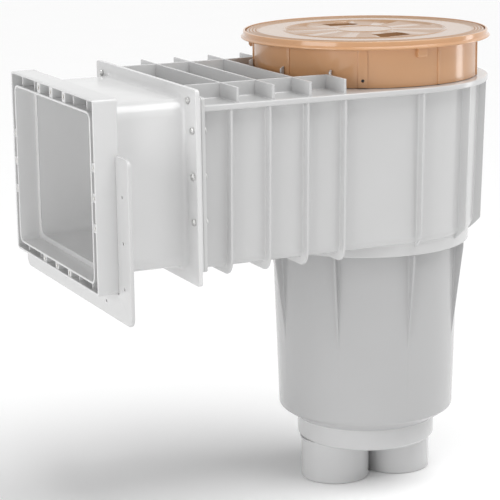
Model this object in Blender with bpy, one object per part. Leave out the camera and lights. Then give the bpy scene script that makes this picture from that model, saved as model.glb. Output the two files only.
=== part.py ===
"""In-ground pool skimmer: bolted throat extension with mouth frame, basket well, two pipe sockets,
height-adjustable lid collar. Metres, +Z up. The throat runs along X and its mouth faces -X. The well axis
is X = Y = 0, and Z = 0 is the underside of the collar flange. Run in Blender 4.5."""

import math

import bmesh
import bpy
import numpy as np
from mathutils import Matrix, Vector

GAP = 0.0003              # clearance between touching pieces
LAP = 0.0010              # depth by which joined shapes run into each other
ROUND = 48                # facets of the large round pieces

# sizes that drive the rest: well radius, levels of the throat, reach of the mouth, well depth, pipe size
COLLAR_R = 0.1210
RIM_TOP = -0.0410
FLOOR_OUT = -0.2075
FRAME_FRONT = -0.3600
PLATE_FRONT = -0.2584
BOWL_LOW = -0.4095
PORT_R = 0.0378

# collar, lid and adjusting sleeve
COLLAR_FLANGE_R = COLLAR_R + 0.0130
COLLAR_RIM_R = COLLAR_R + 0.0105
COLLAR_TOP = 0.0083
COLLAR_WALL = 0.0030
COLLAR_BOTTOM = RIM_TOP + GAP
LID_SEAT = 0.0024
LID_R = COLLAR_RIM_R - 0.0031
LID_SKIRT_LOW = -0.0060
CUP_X = 0.0200            # half width of a finger cup
CUP_Y = (0.0430, 0.0730)
SECTORS = 10
SLEEVE_R = COLLAR_R - COLLAR_WALL - GAP
SLEEVE_WALL = 0.0030
SLEEVE_TOP = COLLAR_BOTTOM + 0.0187
SLEEVE_BOTTOM = COLLAR_BOTTOM - 0.0393
PAD_ANGLE = -119.0
PAD_STEP = 40.0
PAD_DEPTH = 0.0011
LUG_ANGLE = -89.6
SET_SCREW_Z = COLLAR_BOTTOM + 0.0079
SET_SCREW_R = 0.0014

# housing: throat and upper well
RIM_R = COLLAR_R + 0.0114
RIM_BOTTOM = RIM_TOP - 0.0060
WALL = 0.0040
HOUSING_TOP_R = COLLAR_R + 0.0012
HOUSING_LOW_R = HOUSING_TOP_R - 0.0050
HOUSING_LOW_Z = FLOOR_OUT + 0.0085
FLOOR_IN = FLOOR_OUT + 0.0035
CEILING = RIM_TOP - 0.0045
WELL_R = SLEEVE_R + 0.0006
WELL_SOCKET = SLEEVE_BOTTOM - 0.0040
RING_R = HOUSING_LOW_R - 0.0042
RING_BOTTOM = FLOOR_OUT - 0.0135
RING_BORE = RING_R - 0.0040
RIB = 0.0028
RIB_DEPTH = 0.0090
SIDE_RIB_X = (-0.2172, -0.1750, -0.1328, -0.0906)
WELL_RIB_ANGLES = (-90, -60, -30, 0, 30, 60, 90)
DECK_RIB_TOP = RIM_TOP + 0.0150
DECK_STUB_X = -0.7438 * COLLAR_R
DECK_RIB_Y = 0.7025 * COLLAR_R
DECK_RIB_END = RIM_R - 0.0049
POST_R = COLLAR_R + PAD_DEPTH + 0.0001
POST_ANGLES = (-162.0, -134.6, 134.6, 162.0)

# throat extension and its joint with the housing
PLATE = 0.0045
PLATE_HALF = HOUSING_TOP_R + 0.0148
PLATE_TOP = RIM_TOP + 0.0168
PLATE_BOTTOM = FLOOR_OUT - 0.0133
GASKET = 0.0020
END_FLANGE = 0.0040
END_FLANGE_HALF = PLATE_HALF - 0.0030
END_FLANGE_TOP = PLATE_TOP - 0.0083
TUBE_HALF = HOUSING_LOW_R - 0.0082
TUBE_TOP = RIM_TOP + 0.0040
TUBE_WALL = 0.0035
TUBE_CORNER = 0.0160
FILLET = 0.0029
SCREW_R = 0.0020
SCREW_HEAD_R = 0.0038
SCREW_PITCH = 0.04555
JOINT_SCREWS = [(s * (END_FLANGE_HALF - 0.0045), RIM_BOTTOM - 0.0184 - SCREW_PITCH * k)
                for s in (-1, 1) for k in range(3)]
JOINT_SCREWS += [(s * (TUBE_HALF + 0.0105), END_FLANGE_TOP - 0.0041) for s in (-1, 1)]

# mouth frame and wall flange
FRAME_BACK = FRAME_FRONT + 0.0250
FRAME_HALF = TUBE_HALF + 0.0160
FRAME_TOP = TUBE_TOP + 0.0090
FRAME_BOTTOM = FLOOR_OUT - 0.0135
MOUTH_HALF = FRAME_HALF - 0.0120
MOUTH_TOP = FRAME_TOP - 0.0155
MOUTH_BOTTOM = FRAME_BOTTOM + 0.0115
LIP = 0.0024
CHANNEL_FLOOR = FRAME_FRONT + 0.0190
BOSS_PITCH_Y = 0.0380
BOSS_PITCH_Z = 0.0300
BOSS_HALF = 0.0046
BOSS_SINK = 0.0012        # depth of a boss's face behind the lips
WEB = 0.0008              # half thickness of a channel web
WEB_Y = (BOSS_PITCH_Y + 0.0215, FRAME_HALF - 0.0270)
INSERT_R = 0.0023
FLANGE_T = 0.0040
FLANGE_X = FRAME_BACK - 0.0038
FLANGE_HALF = FRAME_HALF + 0.0330
FLANGE_BOTTOM = FRAME_BOTTOM - 0.0275
FLANGE_ARM_TOP = FRAME_TOP - 0.0555
FLANGE_HOLES = [(s * (FRAME_HALF + 0.0165), FLANGE_ARM_TOP - 0.0379 - 0.0457 * k)
                for s in (-1, 1) for k in range(3)]
FLANGE_HOLES += [(y, FLANGE_BOTTOM + 0.0135) for y in (-0.0900, -0.0300, 0.0300, 0.0900)]

# bowl, port base and pipe sockets
BOWL_TOP = FLOOR_OUT + 0.0015
BOWL_TOP_R = RING_BORE - 0.0070
BOWL_LOW_R = BOWL_TOP_R - 0.0054
BOWL_WALL = 0.0036
PORT_X = PORT_R + 0.0007
BASE_R = PORT_X + PORT_R - 0.0001
NECK_R = BASE_R + 0.0033
NECK_Z = BOWL_LOW - 0.0120
NECK_BORE = NECK_R - 0.0095
FIN_R = RING_R - 0.0015
FIN_LOW = RING_BOTTOM - 0.1040
BASE_TOP = NECK_Z + 0.0095
BASE_LOW = NECK_Z - 0.0245
PORT_END = BASE_LOW - 0.0448
SOCKET_R = PORT_R - 0.0062
SOCKET_TOP = BASE_LOW - 0.0075
PORT_BORE = SOCKET_R - 0.0036

# basket, trimmer plate and plug
BASKET_RIM_R = RING_BORE - 0.0030
BASKET_RIM_Z = BOWL_TOP + GAP
BASKET_R = BASKET_RIM_R - 0.0120
BASKET_LOW_R = BASKET_R - 0.0150
BASKET_LOW = BOWL_LOW + 0.0255
BASKET_T = 0.0022
BASKET_LUG = 0.0045
HANDLE_R = BASKET_R - 0.0055
HANDLE_Z = BOWL_TOP + 0.0075
HANDLE_ROD = 0.0026
TRIMMER_R = NECK_BORE - 0.0030
TRIMMER_T = 0.0040
TRIMMER_SPAN = 110.0      # degrees of the plate, which covers one port and leaves the plugged one free
TRIMMER_HUB_R = 0.0095
PIVOT_R = 0.0025
PLUG_R = PORT_BORE - GAP
PLUG_GROOVE = BASE_TOP - 0.0095
PLUG_LOW = BASE_TOP - 0.0200

# weir door
WEIR_X = PLATE_FRONT + 0.0334
WEIR_Z = FLOOR_IN + 0.0080
WEIR_HALF = TUBE_HALF - TUBE_WALL - 0.0035
WEIR_T = 0.0120
WEIR_TOP = CEILING - 0.0105
WEIR_LOW = WEIR_Z + 0.0070
WEIR_SKIN = 0.0020
WEIR_PIN_R = 0.0025
WEIR_BARREL = 0.0050
WEIR_SPRING_R = 0.0038
WEIR_BRACKET = (WEIR_HALF + 0.0015, WEIR_HALF + 0.0050)

PLATE_BACK = PLATE_FRONT + PLATE
GASKET_FRONT = PLATE_BACK + GAP
GASKET_BACK = GASKET_FRONT + GASKET
HOUSING_FRONT = GASKET_BACK + GAP
END_FLANGE_BACK = HOUSING_FRONT + END_FLANGE
DECK_LAST = -COLLAR_R - 0.0080    # the crossing ribs share the deck between the end flange and the collar
DECK_RIB_X = [DECK_LAST - f * (DECK_LAST - END_FLANGE_BACK) for f in (0.677, 0.347, 0)]


def clearScene():
    for obj in list(bpy.data.objects):
        bpy.data.objects.remove(obj, do_unlink=True)


def material(name, color, rough, metal=0.0):
    made = bpy.data.materials.new(name)
    made.use_nodes = True
    shader = made.node_tree.nodes["Principled BSDF"]
    shader.inputs["Base Color"].default_value = (*color, 1.0)
    shader.inputs["Roughness"].default_value = rough
    shader.inputs["Metallic"].default_value = metal
    return made


def finish(mesh, name, mat=None, smooth=True):
    """Puts a mesh in the scene as an object. A piece has a material, and a tool shape has none."""
    bm = bmesh.new()
    bm.from_mesh(mesh)
    bmesh.ops.remove_doubles(bm, verts=bm.verts, dist=1e-6)
    bmesh.ops.recalc_face_normals(bm, faces=bm.faces)
    bm.to_mesh(mesh)
    bm.free()
    obj = bpy.data.objects.new(name, mesh)
    bpy.context.collection.objects.link(obj)
    if mat is None:
        obj.hide_render = True
        obj.display_type = "WIRE"
        return obj
    mesh.materials.append(mat)
    if smooth:
        mesh.set_sharp_from_angle(angle=math.radians(32))
    return obj


def meshOf(verts, faces, name):
    mesh = bpy.data.meshes.new(name)
    mesh.from_pydata([tuple(v) for v in verts], [], [tuple(f) for f in faces])
    return mesh


def lathe(name, profile, mat=None, steps=ROUND, x=0.0, y=0.0, closed=True):
    """Turns (radius, z) points about a vertical axis. An open profile starts and ends on that axis."""
    bm = bmesh.new()
    ring = [bm.verts.new((x + r, y, z)) for r, z in profile]
    pairs = list(zip(ring, ring[1:])) + ([(ring[-1], ring[0])] if closed else [])
    edges = [bm.edges.new(pair) for pair in pairs]
    bmesh.ops.spin(bm, geom=ring + edges, cent=(x, y, 0), axis=(0, 0, 1), angle=2 * math.pi,
                   steps=steps, use_merge=True)
    bmesh.ops.remove_doubles(bm, verts=bm.verts, dist=1e-6)
    mesh = bpy.data.meshes.new(name)
    bm.to_mesh(mesh)
    bm.free()
    return finish(mesh, name, mat)


def prisms(name, solids, mat=None):
    """Extrudes each (outline, vector): a closed outline of 3-D points pushed along the vector."""
    verts, faces = [], []
    for outline, push in solids:
        n, first = len(outline), len(verts)
        verts += [Vector(p) for p in outline] + [Vector(p) + Vector(push) for p in outline]
        faces += [range(first, first + n), range(first + n, first + 2 * n)]
        faces += [(first + i, first + (i + 1) % n, first + n + (i + 1) % n, first + n + i) for i in range(n)]
    return finish(meshOf(verts, faces, name), name, mat)


def block(x0, x1, y0, y1, z0, z1):
    return [(x0, y0, z0), (x1, y0, z0), (x1, y1, z0), (x0, y1, z0)], (0, 0, z1 - z0)


def blocks(name, boxes, mat=None):
    return prisms(name, [block(*b) for b in boxes], mat)


def rod(start, end, radius, steps=16):
    """(outline, vector) of a cylinder from start to end."""
    start, push = Vector(start), Vector(end) - Vector(start)
    side = push.orthogonal().normalized()
    turn = [Matrix.Rotation(2 * math.pi * i / steps, 3, push) for i in range(steps)]
    return [start + radius * (t @ side) for t in turn], push


def rounded(y0, y1, z0, z1, corner, steps=5):
    """(y, z) points of a rectangle with round corners."""
    points = []
    for cy, cz, start in ((y1 - corner, z1 - corner, 0), (y0 + corner, z1 - corner, 90),
                          (y0 + corner, z0 + corner, 180), (y1 - corner, z0 + corner, 270)):
        for i in range(steps + 1):
            a = math.radians(start + 90 * i / steps)
            points.append((cy + corner * math.cos(a), cz + corner * math.sin(a)))
    return points


def alongX(points, x0, x1):
    return [(x0, y, z) for y, z in points], (x1 - x0, 0, 0)


def stadium(name, levels, x0):
    """Stacks outlines that are square at x0 and half round about the well axis, one per (z, half width)."""
    half = ROUND // 2
    verts, faces = [], []
    for z, r in levels:
        arc = [math.pi * i / half - math.pi / 2 for i in range(half + 1)]
        verts += [(x0, -r, z)] + [(r * math.cos(a), r * math.sin(a), z) for a in arc] + [(x0, r, z)]
    n = half + 3
    for k in range(len(levels) - 1):
        faces += [(k * n + i, k * n + (i + 1) % n, (k + 1) * n + (i + 1) % n, (k + 1) * n + i)
                  for i in range(n)]
    faces += [range(n), range((len(levels) - 1) * n, len(levels) * n)]
    return finish(meshOf(verts, faces, name), name)


def radialSlabs(name, profile, angles, thickness, mat=None):
    """Slabs of one (radius, z) outline, standing on the well axis at each angle in degrees."""
    solids = []
    for angle in angles:
        a = math.radians(angle)
        out, across = Vector((math.cos(a), math.sin(a), 0)), Vector((-math.sin(a), math.cos(a), 0))
        outline = [out * r + across * (-thickness / 2) + Vector((0, 0, z)) for r, z in profile]
        solids.append((outline, across * thickness))
    return prisms(name, solids, mat)


def combine(target, tool, operation):
    tool.hide_render = True
    tool.display_type = "WIRE"
    step = target.modifiers.new(f"{operation.lower()}_{tool.name}", "BOOLEAN")
    step.operation = operation
    step.solver = "EXACT"
    step.object = tool


def build(target, adds=(), cuts=()):
    for tool in adds:
        combine(target, tool, "UNION")
    for tool in cuts:
        combine(target, tool, "DIFFERENCE")
    return target


def piece(obj, mat):
    """Turns a tool shape into a visible piece."""
    obj.hide_render = False
    obj.display_type = "TEXTURED"
    obj.data.materials.append(mat)
    obj.data.set_sharp_from_angle(angle=math.radians(32))
    return obj


def setOrigin(obj, point):
    """Moves an object's origin to a point on its joint axis, leaving the mesh in place."""
    obj.data.transform(Matrix.Translation(-Vector(point)))
    obj.location = point


def jointHoles(x0, x1):
    return [rod((x0 - LAP, y, z), (x1 + LAP, y, z), SCREW_R + GAP, 8) for y, z in JOINT_SCREWS]


def setScrewHoles(wallR, boreR):
    """Drills for the three set screws through a wall between two radii."""
    holes = []
    for k in range(3):
        a = math.radians(PAD_ANGLE + 3 * PAD_STEP * k)
        out, up = Vector((math.cos(a), math.sin(a), 0)), Vector((0, 0, SET_SCREW_Z))
        holes.append(rod(out * (wallR + 0.003) + up, out * (boreR - 0.002) + up, SET_SCREW_R + GAP, 8))
    return holes


def buildHousing(mat):
    slope = (HOUSING_TOP_R - HOUSING_LOW_R) / (RIM_TOP - HOUSING_LOW_Z)
    low = [(FLOOR_OUT, HOUSING_LOW_R - 0.0062), (FLOOR_OUT + 0.0018, HOUSING_LOW_R - 0.0022),
           (FLOOR_OUT + 0.0048, HOUSING_LOW_R - 0.0005)]
    shell = stadium("body_housing", low + [(HOUSING_LOW_Z, HOUSING_LOW_R),
                                           (RIM_TOP - LAP, HOUSING_TOP_R)], END_FLANGE_BACK - LAP)
    rim = stadium("tool_rim", [(RIM_BOTTOM, RIM_R - 0.0012), (RIM_BOTTOM + 0.0015, RIM_R), (RIM_TOP, RIM_R)],
                  END_FLANGE_BACK - LAP)
    ring = lathe("tool_ring", [(0, FLOOR_IN - LAP), (RING_R + 0.0015, FLOOR_IN - LAP), (RING_R, FLOOR_IN - 0.004),
                               (RING_R, RING_BOTTOM + 0.001), (RING_R - 0.001, RING_BOTTOM),
                               (0, RING_BOTTOM)], closed=False)
    top, bottom = HOUSING_TOP_R + RIB_DEPTH, HOUSING_LOW_R + RIB_DEPTH
    under = FLOOR_OUT - RIB_DEPTH
    hoop = [(-top, RIM_BOTTOM + LAP), (-bottom, HOUSING_LOW_Z), (-bottom + 0.005, HOUSING_LOW_Z - 0.010),
            (-bottom + 0.016, under), (bottom - 0.016, under), (bottom - 0.005, HOUSING_LOW_Z - 0.010),
            (bottom, HOUSING_LOW_Z), (top, RIM_BOTTOM + LAP)]
    hoops = prisms("tool_hoops", [alongX(hoop, x - RIB / 2, x + RIB / 2) for x in SIDE_RIB_X])
    root = RING_BORE - 0.009
    spoke = [(root, RIM_BOTTOM + LAP), (top, RIM_BOTTOM + LAP), (bottom, HOUSING_LOW_Z),
             (RING_R + 0.001, FLOOR_OUT - 0.004), (root, FLOOR_OUT - 0.004)]
    spokes = radialSlabs("tool_spokes", spoke, WELL_RIB_ANGLES, RIB)
    low, high = RIM_TOP - 0.002, DECK_RIB_TOP
    cross = [(x - RIB / 2, x + RIB / 2, -DECK_RIB_END, DECK_RIB_END, low, high) for x in DECK_RIB_X]
    long = []
    for s in (-1, 1):
        y0, y1 = sorted((s * (DECK_RIB_Y - 0.0012), s * DECK_RIB_END))
        cross.append((DECK_STUB_X - RIB / 2, DECK_STUB_X + RIB / 2, y0, y1, low, high))
        long.append((END_FLANGE_BACK - LAP, DECK_STUB_X, s * DECK_RIB_Y - RIB / 2, s * DECK_RIB_Y + RIB / 2,
                     low, high - 0.0002))
    post = [(POST_R, low), (POST_R + 0.004, low), (POST_R + 0.004, RIM_TOP + 0.0175),
            (POST_R, RIM_TOP + 0.0195)]
    posts = radialSlabs("tool_posts", post, POST_ANGLES, 0.0022)
    flange = rounded(-END_FLANGE_HALF, END_FLANGE_HALF, FLOOR_OUT + 0.0005, END_FLANGE_TOP, 0.003, 3)
    endFlange = prisms("tool_end_flange", [alongX(flange, HOUSING_FRONT, END_FLANGE_BACK)])

    bore = HOUSING_LOW_R - WALL
    inner = stadium("tool_inside", [(FLOOR_IN, bore - 0.0055), (FLOOR_IN + 0.002, bore - 0.0018),
                                    (HOUSING_LOW_Z, bore),
                                    (CEILING, bore + slope * (CEILING - HOUSING_LOW_Z))],
                    END_FLANGE_BACK + LAP)
    gate = rounded(-(TUBE_HALF - TUBE_WALL), TUBE_HALF - TUBE_WALL, FLOOR_IN, CEILING, 0.006, 4)
    opening = prisms("tool_gate", [alongX(gate, HOUSING_FRONT - LAP, END_FLANGE_BACK + 0.004)])
    mouth = lathe("tool_well_mouth", [(0, WELL_SOCKET), (WELL_R, WELL_SOCKET), (WELL_R, RIM_TOP - 0.002),
                                      (WELL_R + 0.002, RIM_TOP + LAP), (0, RIM_TOP + LAP)], closed=False)
    ringBore = lathe("tool_ring_bore", [(0, FLOOR_IN + LAP), (RING_BORE, FLOOR_IN + LAP),
                                        (RING_BORE, RING_BOTTOM - LAP), (0, RING_BOTTOM - LAP)], closed=False)
    holes = prisms("tool_flange_holes", jointHoles(HOUSING_FRONT, END_FLANGE_BACK))
    build(shell, (rim, ring, hoops, spokes, blocks("tool_deck_cross", cross), blocks("tool_deck_long", long),
                  posts, endFlange), (inner, opening, mouth, ringBore, holes))
    return piece(shell, mat)


def buildBowl(mat):
    inside = BOWL_WALL
    profile = [(BOWL_TOP_R - inside + 0.0006, BOWL_TOP), (RING_BORE - GAP, BOWL_TOP),
               (RING_BORE - GAP, RING_BOTTOM + 0.003), (RING_BORE - 0.004, RING_BOTTOM - 0.0004),
               (BOWL_TOP_R, RING_BOTTOM - LAP), (BOWL_LOW_R, BOWL_LOW), (NECK_R, NECK_Z), (NECK_BORE, NECK_Z),
               (NECK_BORE, BASE_TOP - 0.002), (BOWL_LOW_R - inside - 0.004, BOWL_LOW + 0.0035),
               (BOWL_LOW_R - inside, BOWL_LOW + 0.006), (BOWL_TOP_R - inside, RING_BOTTOM)]
    bowl = lathe("well_bowl", profile, mat)
    along = (RING_BOTTOM - LAP - FIN_LOW) / (RING_BOTTOM - LAP - BOWL_LOW)
    tip = BOWL_TOP_R + (BOWL_LOW_R - BOWL_TOP_R) * along
    fin = [(BOWL_TOP_R - 0.002, RING_BOTTOM - GAP), (FIN_R, RING_BOTTOM - GAP), (FIN_R, RING_BOTTOM - 0.006),
           (tip + 0.0004, FIN_LOW), (tip - 0.0015, FIN_LOW)]
    return build(bowl, [radialSlabs("tool_fins", fin, range(0, 360, 45), RIB)])


def buildPortBase(mat):
    spigot = NECK_BORE - GAP
    base = lathe("port_base", [(0, BASE_TOP), (spigot, BASE_TOP), (spigot, NECK_Z - GAP),
                               (BASE_R, NECK_Z - GAP), (BASE_R, BASE_LOW + 0.0045),
                               (BASE_R - 0.004, BASE_LOW), (0, BASE_LOW)], mat, closed=False)
    pipes, bores, sockets = [], [], []
    for x in (-PORT_X, PORT_X):
        pipes.append(rod((x, 0, BASE_LOW + 0.003), (x, 0, PORT_END), PORT_R, 36))
        bores.append(rod((x, 0, BASE_TOP + LAP), (x, 0, SOCKET_TOP - 0.0015), PORT_BORE, 36))
        sockets.append(rod((x, 0, SOCKET_TOP), (x, 0, PORT_END - LAP), SOCKET_R, 36))
    pivot = prisms("tool_pivot_hole", [rod((0, 0, BASE_TOP + LAP), (0, 0, BASE_TOP - 0.012), PIVOT_R + GAP)])
    return build(base, [prisms("tool_pipes", pipes)],
                 [prisms("tool_port_bores", bores), prisms("tool_sockets", sockets), pivot])


def buildExtension(mat):
    outer = rounded(-TUBE_HALF, TUBE_HALF, FLOOR_OUT, TUBE_TOP, TUBE_CORNER)
    inner = rounded(-TUBE_HALF + TUBE_WALL, TUBE_HALF - TUBE_WALL, FLOOR_IN, TUBE_TOP - TUBE_WALL,
                    TUBE_CORNER - TUBE_WALL)
    tubeFront = CHANNEL_FLOOR + 0.003
    plate = rounded(-PLATE_HALF, PLATE_HALF, PLATE_BOTTOM, PLATE_TOP, 0.004, 4)
    middle, half = (FLOOR_OUT + TUBE_TOP) / 2, (TUBE_TOP - FLOOR_OUT) / 2
    root = [(y * (1 + FILLET / TUBE_HALF), middle + (z - middle) * (1 + FILLET / half)) for y, z in outer]
    n = len(outer)
    verts = [(PLATE_FRONT - 0.005, *p) for p in outer] + [(PLATE_FRONT + LAP, *p) for p in root]
    faces = [range(n), range(n, 2 * n)] + [(i, (i + 1) % n, n + (i + 1) % n, n + i) for i in range(n)]
    fillet = finish(meshOf(verts, faces, "tool_fillet"), "tool_fillet")
    tube = prisms("throat_extension", [alongX(outer, tubeFront, PLATE_BACK - LAP)], mat)
    holes = jointHoles(PLATE_FRONT, PLATE_BACK)
    return build(tube, [fillet, prisms("tool_plate", [alongX(plate, PLATE_FRONT, PLATE_BACK)])],
                 [prisms("tool_tube_inside", [alongX(inner, tubeFront - LAP, PLATE_BACK + LAP)]),
                  prisms("tool_plate_holes", holes)])


def buildGasket(mat):
    half, opening = END_FLANGE_HALF - 0.0005, TUBE_HALF - TUBE_WALL
    outer = rounded(-half, half, FLOOR_OUT + 0.0005, END_FLANGE_TOP - 0.0005, 0.003, 3)
    inner = rounded(-opening, opening, FLOOR_IN + 0.0002, CEILING, 0.006, 4)
    gasket = prisms("flange_gasket", [alongX(outer, GASKET_FRONT, GASKET_BACK)], mat)
    inside = prisms("tool_gasket_inside", [alongX(inner, GASKET_FRONT - LAP, GASKET_BACK + LAP)])
    return build(gasket, cuts=[inside, prisms("tool_gasket_holes", jointHoles(GASKET_FRONT, GASKET_BACK))])


def fasteners(name, profile, places, direction, mat, steps, flats=0):
    """One object per place, sharing a mesh turned about Z and then laid along a direction.
    A profile is (radius, z) points. With flats, the points of the largest radius become a polygon."""
    biggest = max(r for r, _ in profile)
    hollow = min(r for r, _ in profile) > 0
    verts, faces, n = [], [], len(profile)
    for i in range(steps):
        a = 2 * math.pi * i / steps
        for r, z in profile:
            if flats and r == biggest:
                turn = (a + math.pi / flats) % (2 * math.pi / flats) - math.pi / flats
                r *= math.cos(math.pi / flats) / math.cos(turn)
            verts.append((r * math.cos(a), r * math.sin(a), z))
    for i in range(steps):
        k = (i + 1) % steps
        faces += [(i * n + j, k * n + j, k * n + (j + 1) % n, i * n + (j + 1) % n)
                  for j in range(n if hollow else n - 1)]
    first = finish(meshOf(verts, faces, name), f"{name}_1", mat)
    turn = Vector((0, 0, 1)).rotation_difference(Vector(direction)).to_euler()
    made = [first]
    for i in range(1, len(places)):
        copy = bpy.data.objects.new(f"{name}_{i + 1}", first.data)
        bpy.context.collection.objects.link(copy)
        made.append(copy)
    for obj, place in zip(made, places):
        obj.location = place
        obj.rotation_euler = turn
    return made


def buildJointScrews(mat, nutMat):
    """The screw heads lie on the housing side, so the plate's front face shows nuts and screw ends."""
    length = END_FLANGE_BACK + GAP - PLATE_FRONT + 0.0030
    screw = [(0, 0.0024), (SCREW_HEAD_R - 0.0010, 0.0024),
             (SCREW_HEAD_R, 0), (SCREW_R, 0), (SCREW_R, -length), (0, -length)]
    heads = [(END_FLANGE_BACK + GAP, y, z) for y, z in JOINT_SCREWS]
    fasteners("flange_screw", screw, heads, (1, 0, 0), mat, 8)
    bore = SCREW_R + 0.0002
    nut = [(bore, GAP), (SCREW_HEAD_R, GAP), (SCREW_HEAD_R, 0.0026), (bore, 0.0026)]
    fasteners("flange_nut", nut, [(PLATE_FRONT, y, z) for y, z in JOINT_SCREWS], (-1, 0, 0), nutMat, 12, 6)


def bossCentres():
    """(y, z, half width across the channel) of the twelve screw bosses in the frame's channel."""
    top, bottom = (FRAME_TOP + MOUTH_TOP) / 2, (FRAME_BOTTOM + MOUTH_BOTTOM) / 2
    side = (FRAME_HALF + MOUTH_HALF) / 2
    middle = (FRAME_TOP + FRAME_BOTTOM) / 2
    centres = [(k * BOSS_PITCH_Y, z, "y") for z in (top, bottom) for k in (-1, 0, 1)]
    centres += [(s * side, middle + k * BOSS_PITCH_Z, "z") for s in (-1, 1) for k in (-1, 0, 1)]
    return centres


def buildFrame(mat):
    outline = rounded(-FRAME_HALF, FRAME_HALF, FRAME_BOTTOM, FRAME_TOP, 0.004, 2)
    frame = prisms("mouth_frame", [alongX(outline, FRAME_FRONT, FRAME_BACK)], mat)
    mouth = rounded(-MOUTH_HALF, MOUTH_HALF, MOUTH_BOTTOM, MOUTH_TOP, 0.007, 3)
    back = rounded(-TUBE_HALF - GAP, TUBE_HALF + GAP, FLOOR_OUT - GAP, TUBE_TOP + GAP, TUBE_CORNER + GAP)
    channel = rounded(-FRAME_HALF + LIP, FRAME_HALF - LIP, FRAME_BOTTOM + LIP, FRAME_TOP - LIP, 0.002, 2)
    core = rounded(-MOUTH_HALF - LIP, MOUTH_HALF + LIP, MOUTH_BOTTOM - LIP, MOUTH_TOP + LIP, 0.009, 3)
    middle = prisms("tool_channel_core", [alongX(core, FRAME_FRONT - 2 * LAP, CHANNEL_FLOOR + LAP)])
    ditch = build(prisms("tool_channel", [alongX(channel, FRAME_FRONT - LAP, CHANNEL_FLOOR)]), cuts=[middle])
    bosses, drills = [], []
    for y, z, run in bossCentres():
        if run == "y":
            across = FRAME_TOP - MOUTH_TOP if z > MOUTH_TOP else MOUTH_BOTTOM - FRAME_BOTTOM
        else:
            across = FRAME_HALF - MOUTH_HALF
        across = across / 2 - LIP + WEB
        dy, dz = (BOSS_HALF, across) if run == "y" else (across, BOSS_HALF)
        bosses.append((FRAME_FRONT + BOSS_SINK, CHANNEL_FLOOR + LAP, y - dy, y + dy, z - dz, z + dz))
        drills.append(rod((FRAME_FRONT, y, z), (FRAME_FRONT + 0.0140, y, z), INSERT_R + GAP, 10))
    spans = ((MOUTH_TOP + LIP - WEB, FRAME_TOP - LIP + WEB),
             (FRAME_BOTTOM + LIP - WEB, MOUTH_BOTTOM - LIP + WEB))
    webs = [(FRAME_FRONT + 0.004, CHANNEL_FLOOR + LAP, s * y - WEB, s * y + WEB, z0, z1)
            for s in (-1, 1) for y in WEB_Y for z0, z1 in spans]
    seat = prisms("tool_tube_seat", [alongX(back, CHANNEL_FLOOR + 0.0015, FRAME_BACK + LAP)])
    opening = prisms("tool_mouth", [alongX(mouth, FRAME_FRONT - LAP, CHANNEL_FLOOR + 0.0025)])
    build(frame, cuts=[opening, seat, ditch])
    return build(frame, [blocks("tool_bosses", bosses), blocks("tool_webs", webs)],
                 [prisms("tool_boss_drills", drills)])


def buildInserts(mat):
    bore = INSERT_R - 0.0009
    profile = [(0, -0.0085), (bore, -0.0085), (bore, 0), (INSERT_R, 0), (INSERT_R, -0.0100), (0, -0.0100)]
    places = [(FRAME_FRONT + BOSS_SINK, y, z) for y, z, _ in bossCentres()]
    fasteners("boss_insert", profile[::-1], places, (-1, 0, 0), mat, 8)


def buildWallFlange(mat):
    foot, tip, steps = 0.010, 0.008, 4
    outer, inner = FLANGE_HALF, FRAME_HALF + GAP
    path = [(-inner, FLANGE_ARM_TOP)]
    for s, z, radius, start in ((-1, FLANGE_ARM_TOP - tip, tip, 90), (-1, FLANGE_BOTTOM + foot, foot, 180),
                                (1, FLANGE_BOTTOM + foot, foot, 270), (1, FLANGE_ARM_TOP - tip, tip, 0)):
        turn = [math.radians(start + 90 * i / steps) for i in range(steps + 1)]
        path += [(s * (outer - radius) + radius * math.cos(a), z + radius * math.sin(a)) for a in turn]
    path += [(inner, FLANGE_ARM_TOP), (inner, FRAME_BOTTOM - GAP), (-inner, FRAME_BOTTOM - GAP)]
    flange = prisms("wall_flange", [alongX(path, FLANGE_X, FLANGE_X + FLANGE_T)], mat)
    holes = [rod((FLANGE_X - LAP, y, z), (FLANGE_X + FLANGE_T + LAP, y, z), 0.0016, 8)
             for y, z in FLANGE_HOLES]
    return build(flange, cuts=[prisms("tool_wall_flange_holes", holes)])


def buildCollar(mat):
    inner = COLLAR_R - COLLAR_WALL
    profile = [(inner, COLLAR_BOTTOM), (COLLAR_R, COLLAR_BOTTOM), (COLLAR_R, -0.0020), (COLLAR_R + 0.002, 0),
               (COLLAR_FLANGE_R, 0), (COLLAR_FLANGE_R, 0.0018), (COLLAR_RIM_R, 0.0034),
               (COLLAR_RIM_R, COLLAR_TOP - 0.0008), (COLLAR_RIM_R - 0.0008, COLLAR_TOP),
               (LID_R + 0.0008, COLLAR_TOP), (LID_R + 0.0008, LID_SEAT), (inner, LID_SEAT)]
    collar = lathe("collar", profile, mat)
    top, low = -LAP, COLLAR_BOTTOM + 0.0005
    angles = [PAD_ANGLE + PAD_STEP * k for k in range(9)]
    padR = COLLAR_R + PAD_DEPTH
    pad = [(COLLAR_R - LAP, low), (padR, low), (padR, top), (COLLAR_R - LAP, top)]
    lug = [(COLLAR_R - LAP, -0.0105), (COLLAR_R + 0.003, -0.0105), (COLLAR_R + 0.0045, -0.0080),
           (COLLAR_R + 0.0045, LAP), (COLLAR_R - LAP, LAP)]
    pads = radialSlabs("tool_pads", pad, angles[::3], 0.0105)
    ribs = radialSlabs("tool_collar_ribs", pad, angles[1::3] + angles[2::3], 0.0036)
    lugs = radialSlabs("tool_lugs", lug, [LUG_ANGLE + 120 * k for k in range(3)], 0.0110)
    return build(collar, [pads, ribs, lugs], [prisms("tool_set_screw_holes", setScrewHoles(COLLAR_R, inner))])


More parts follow.
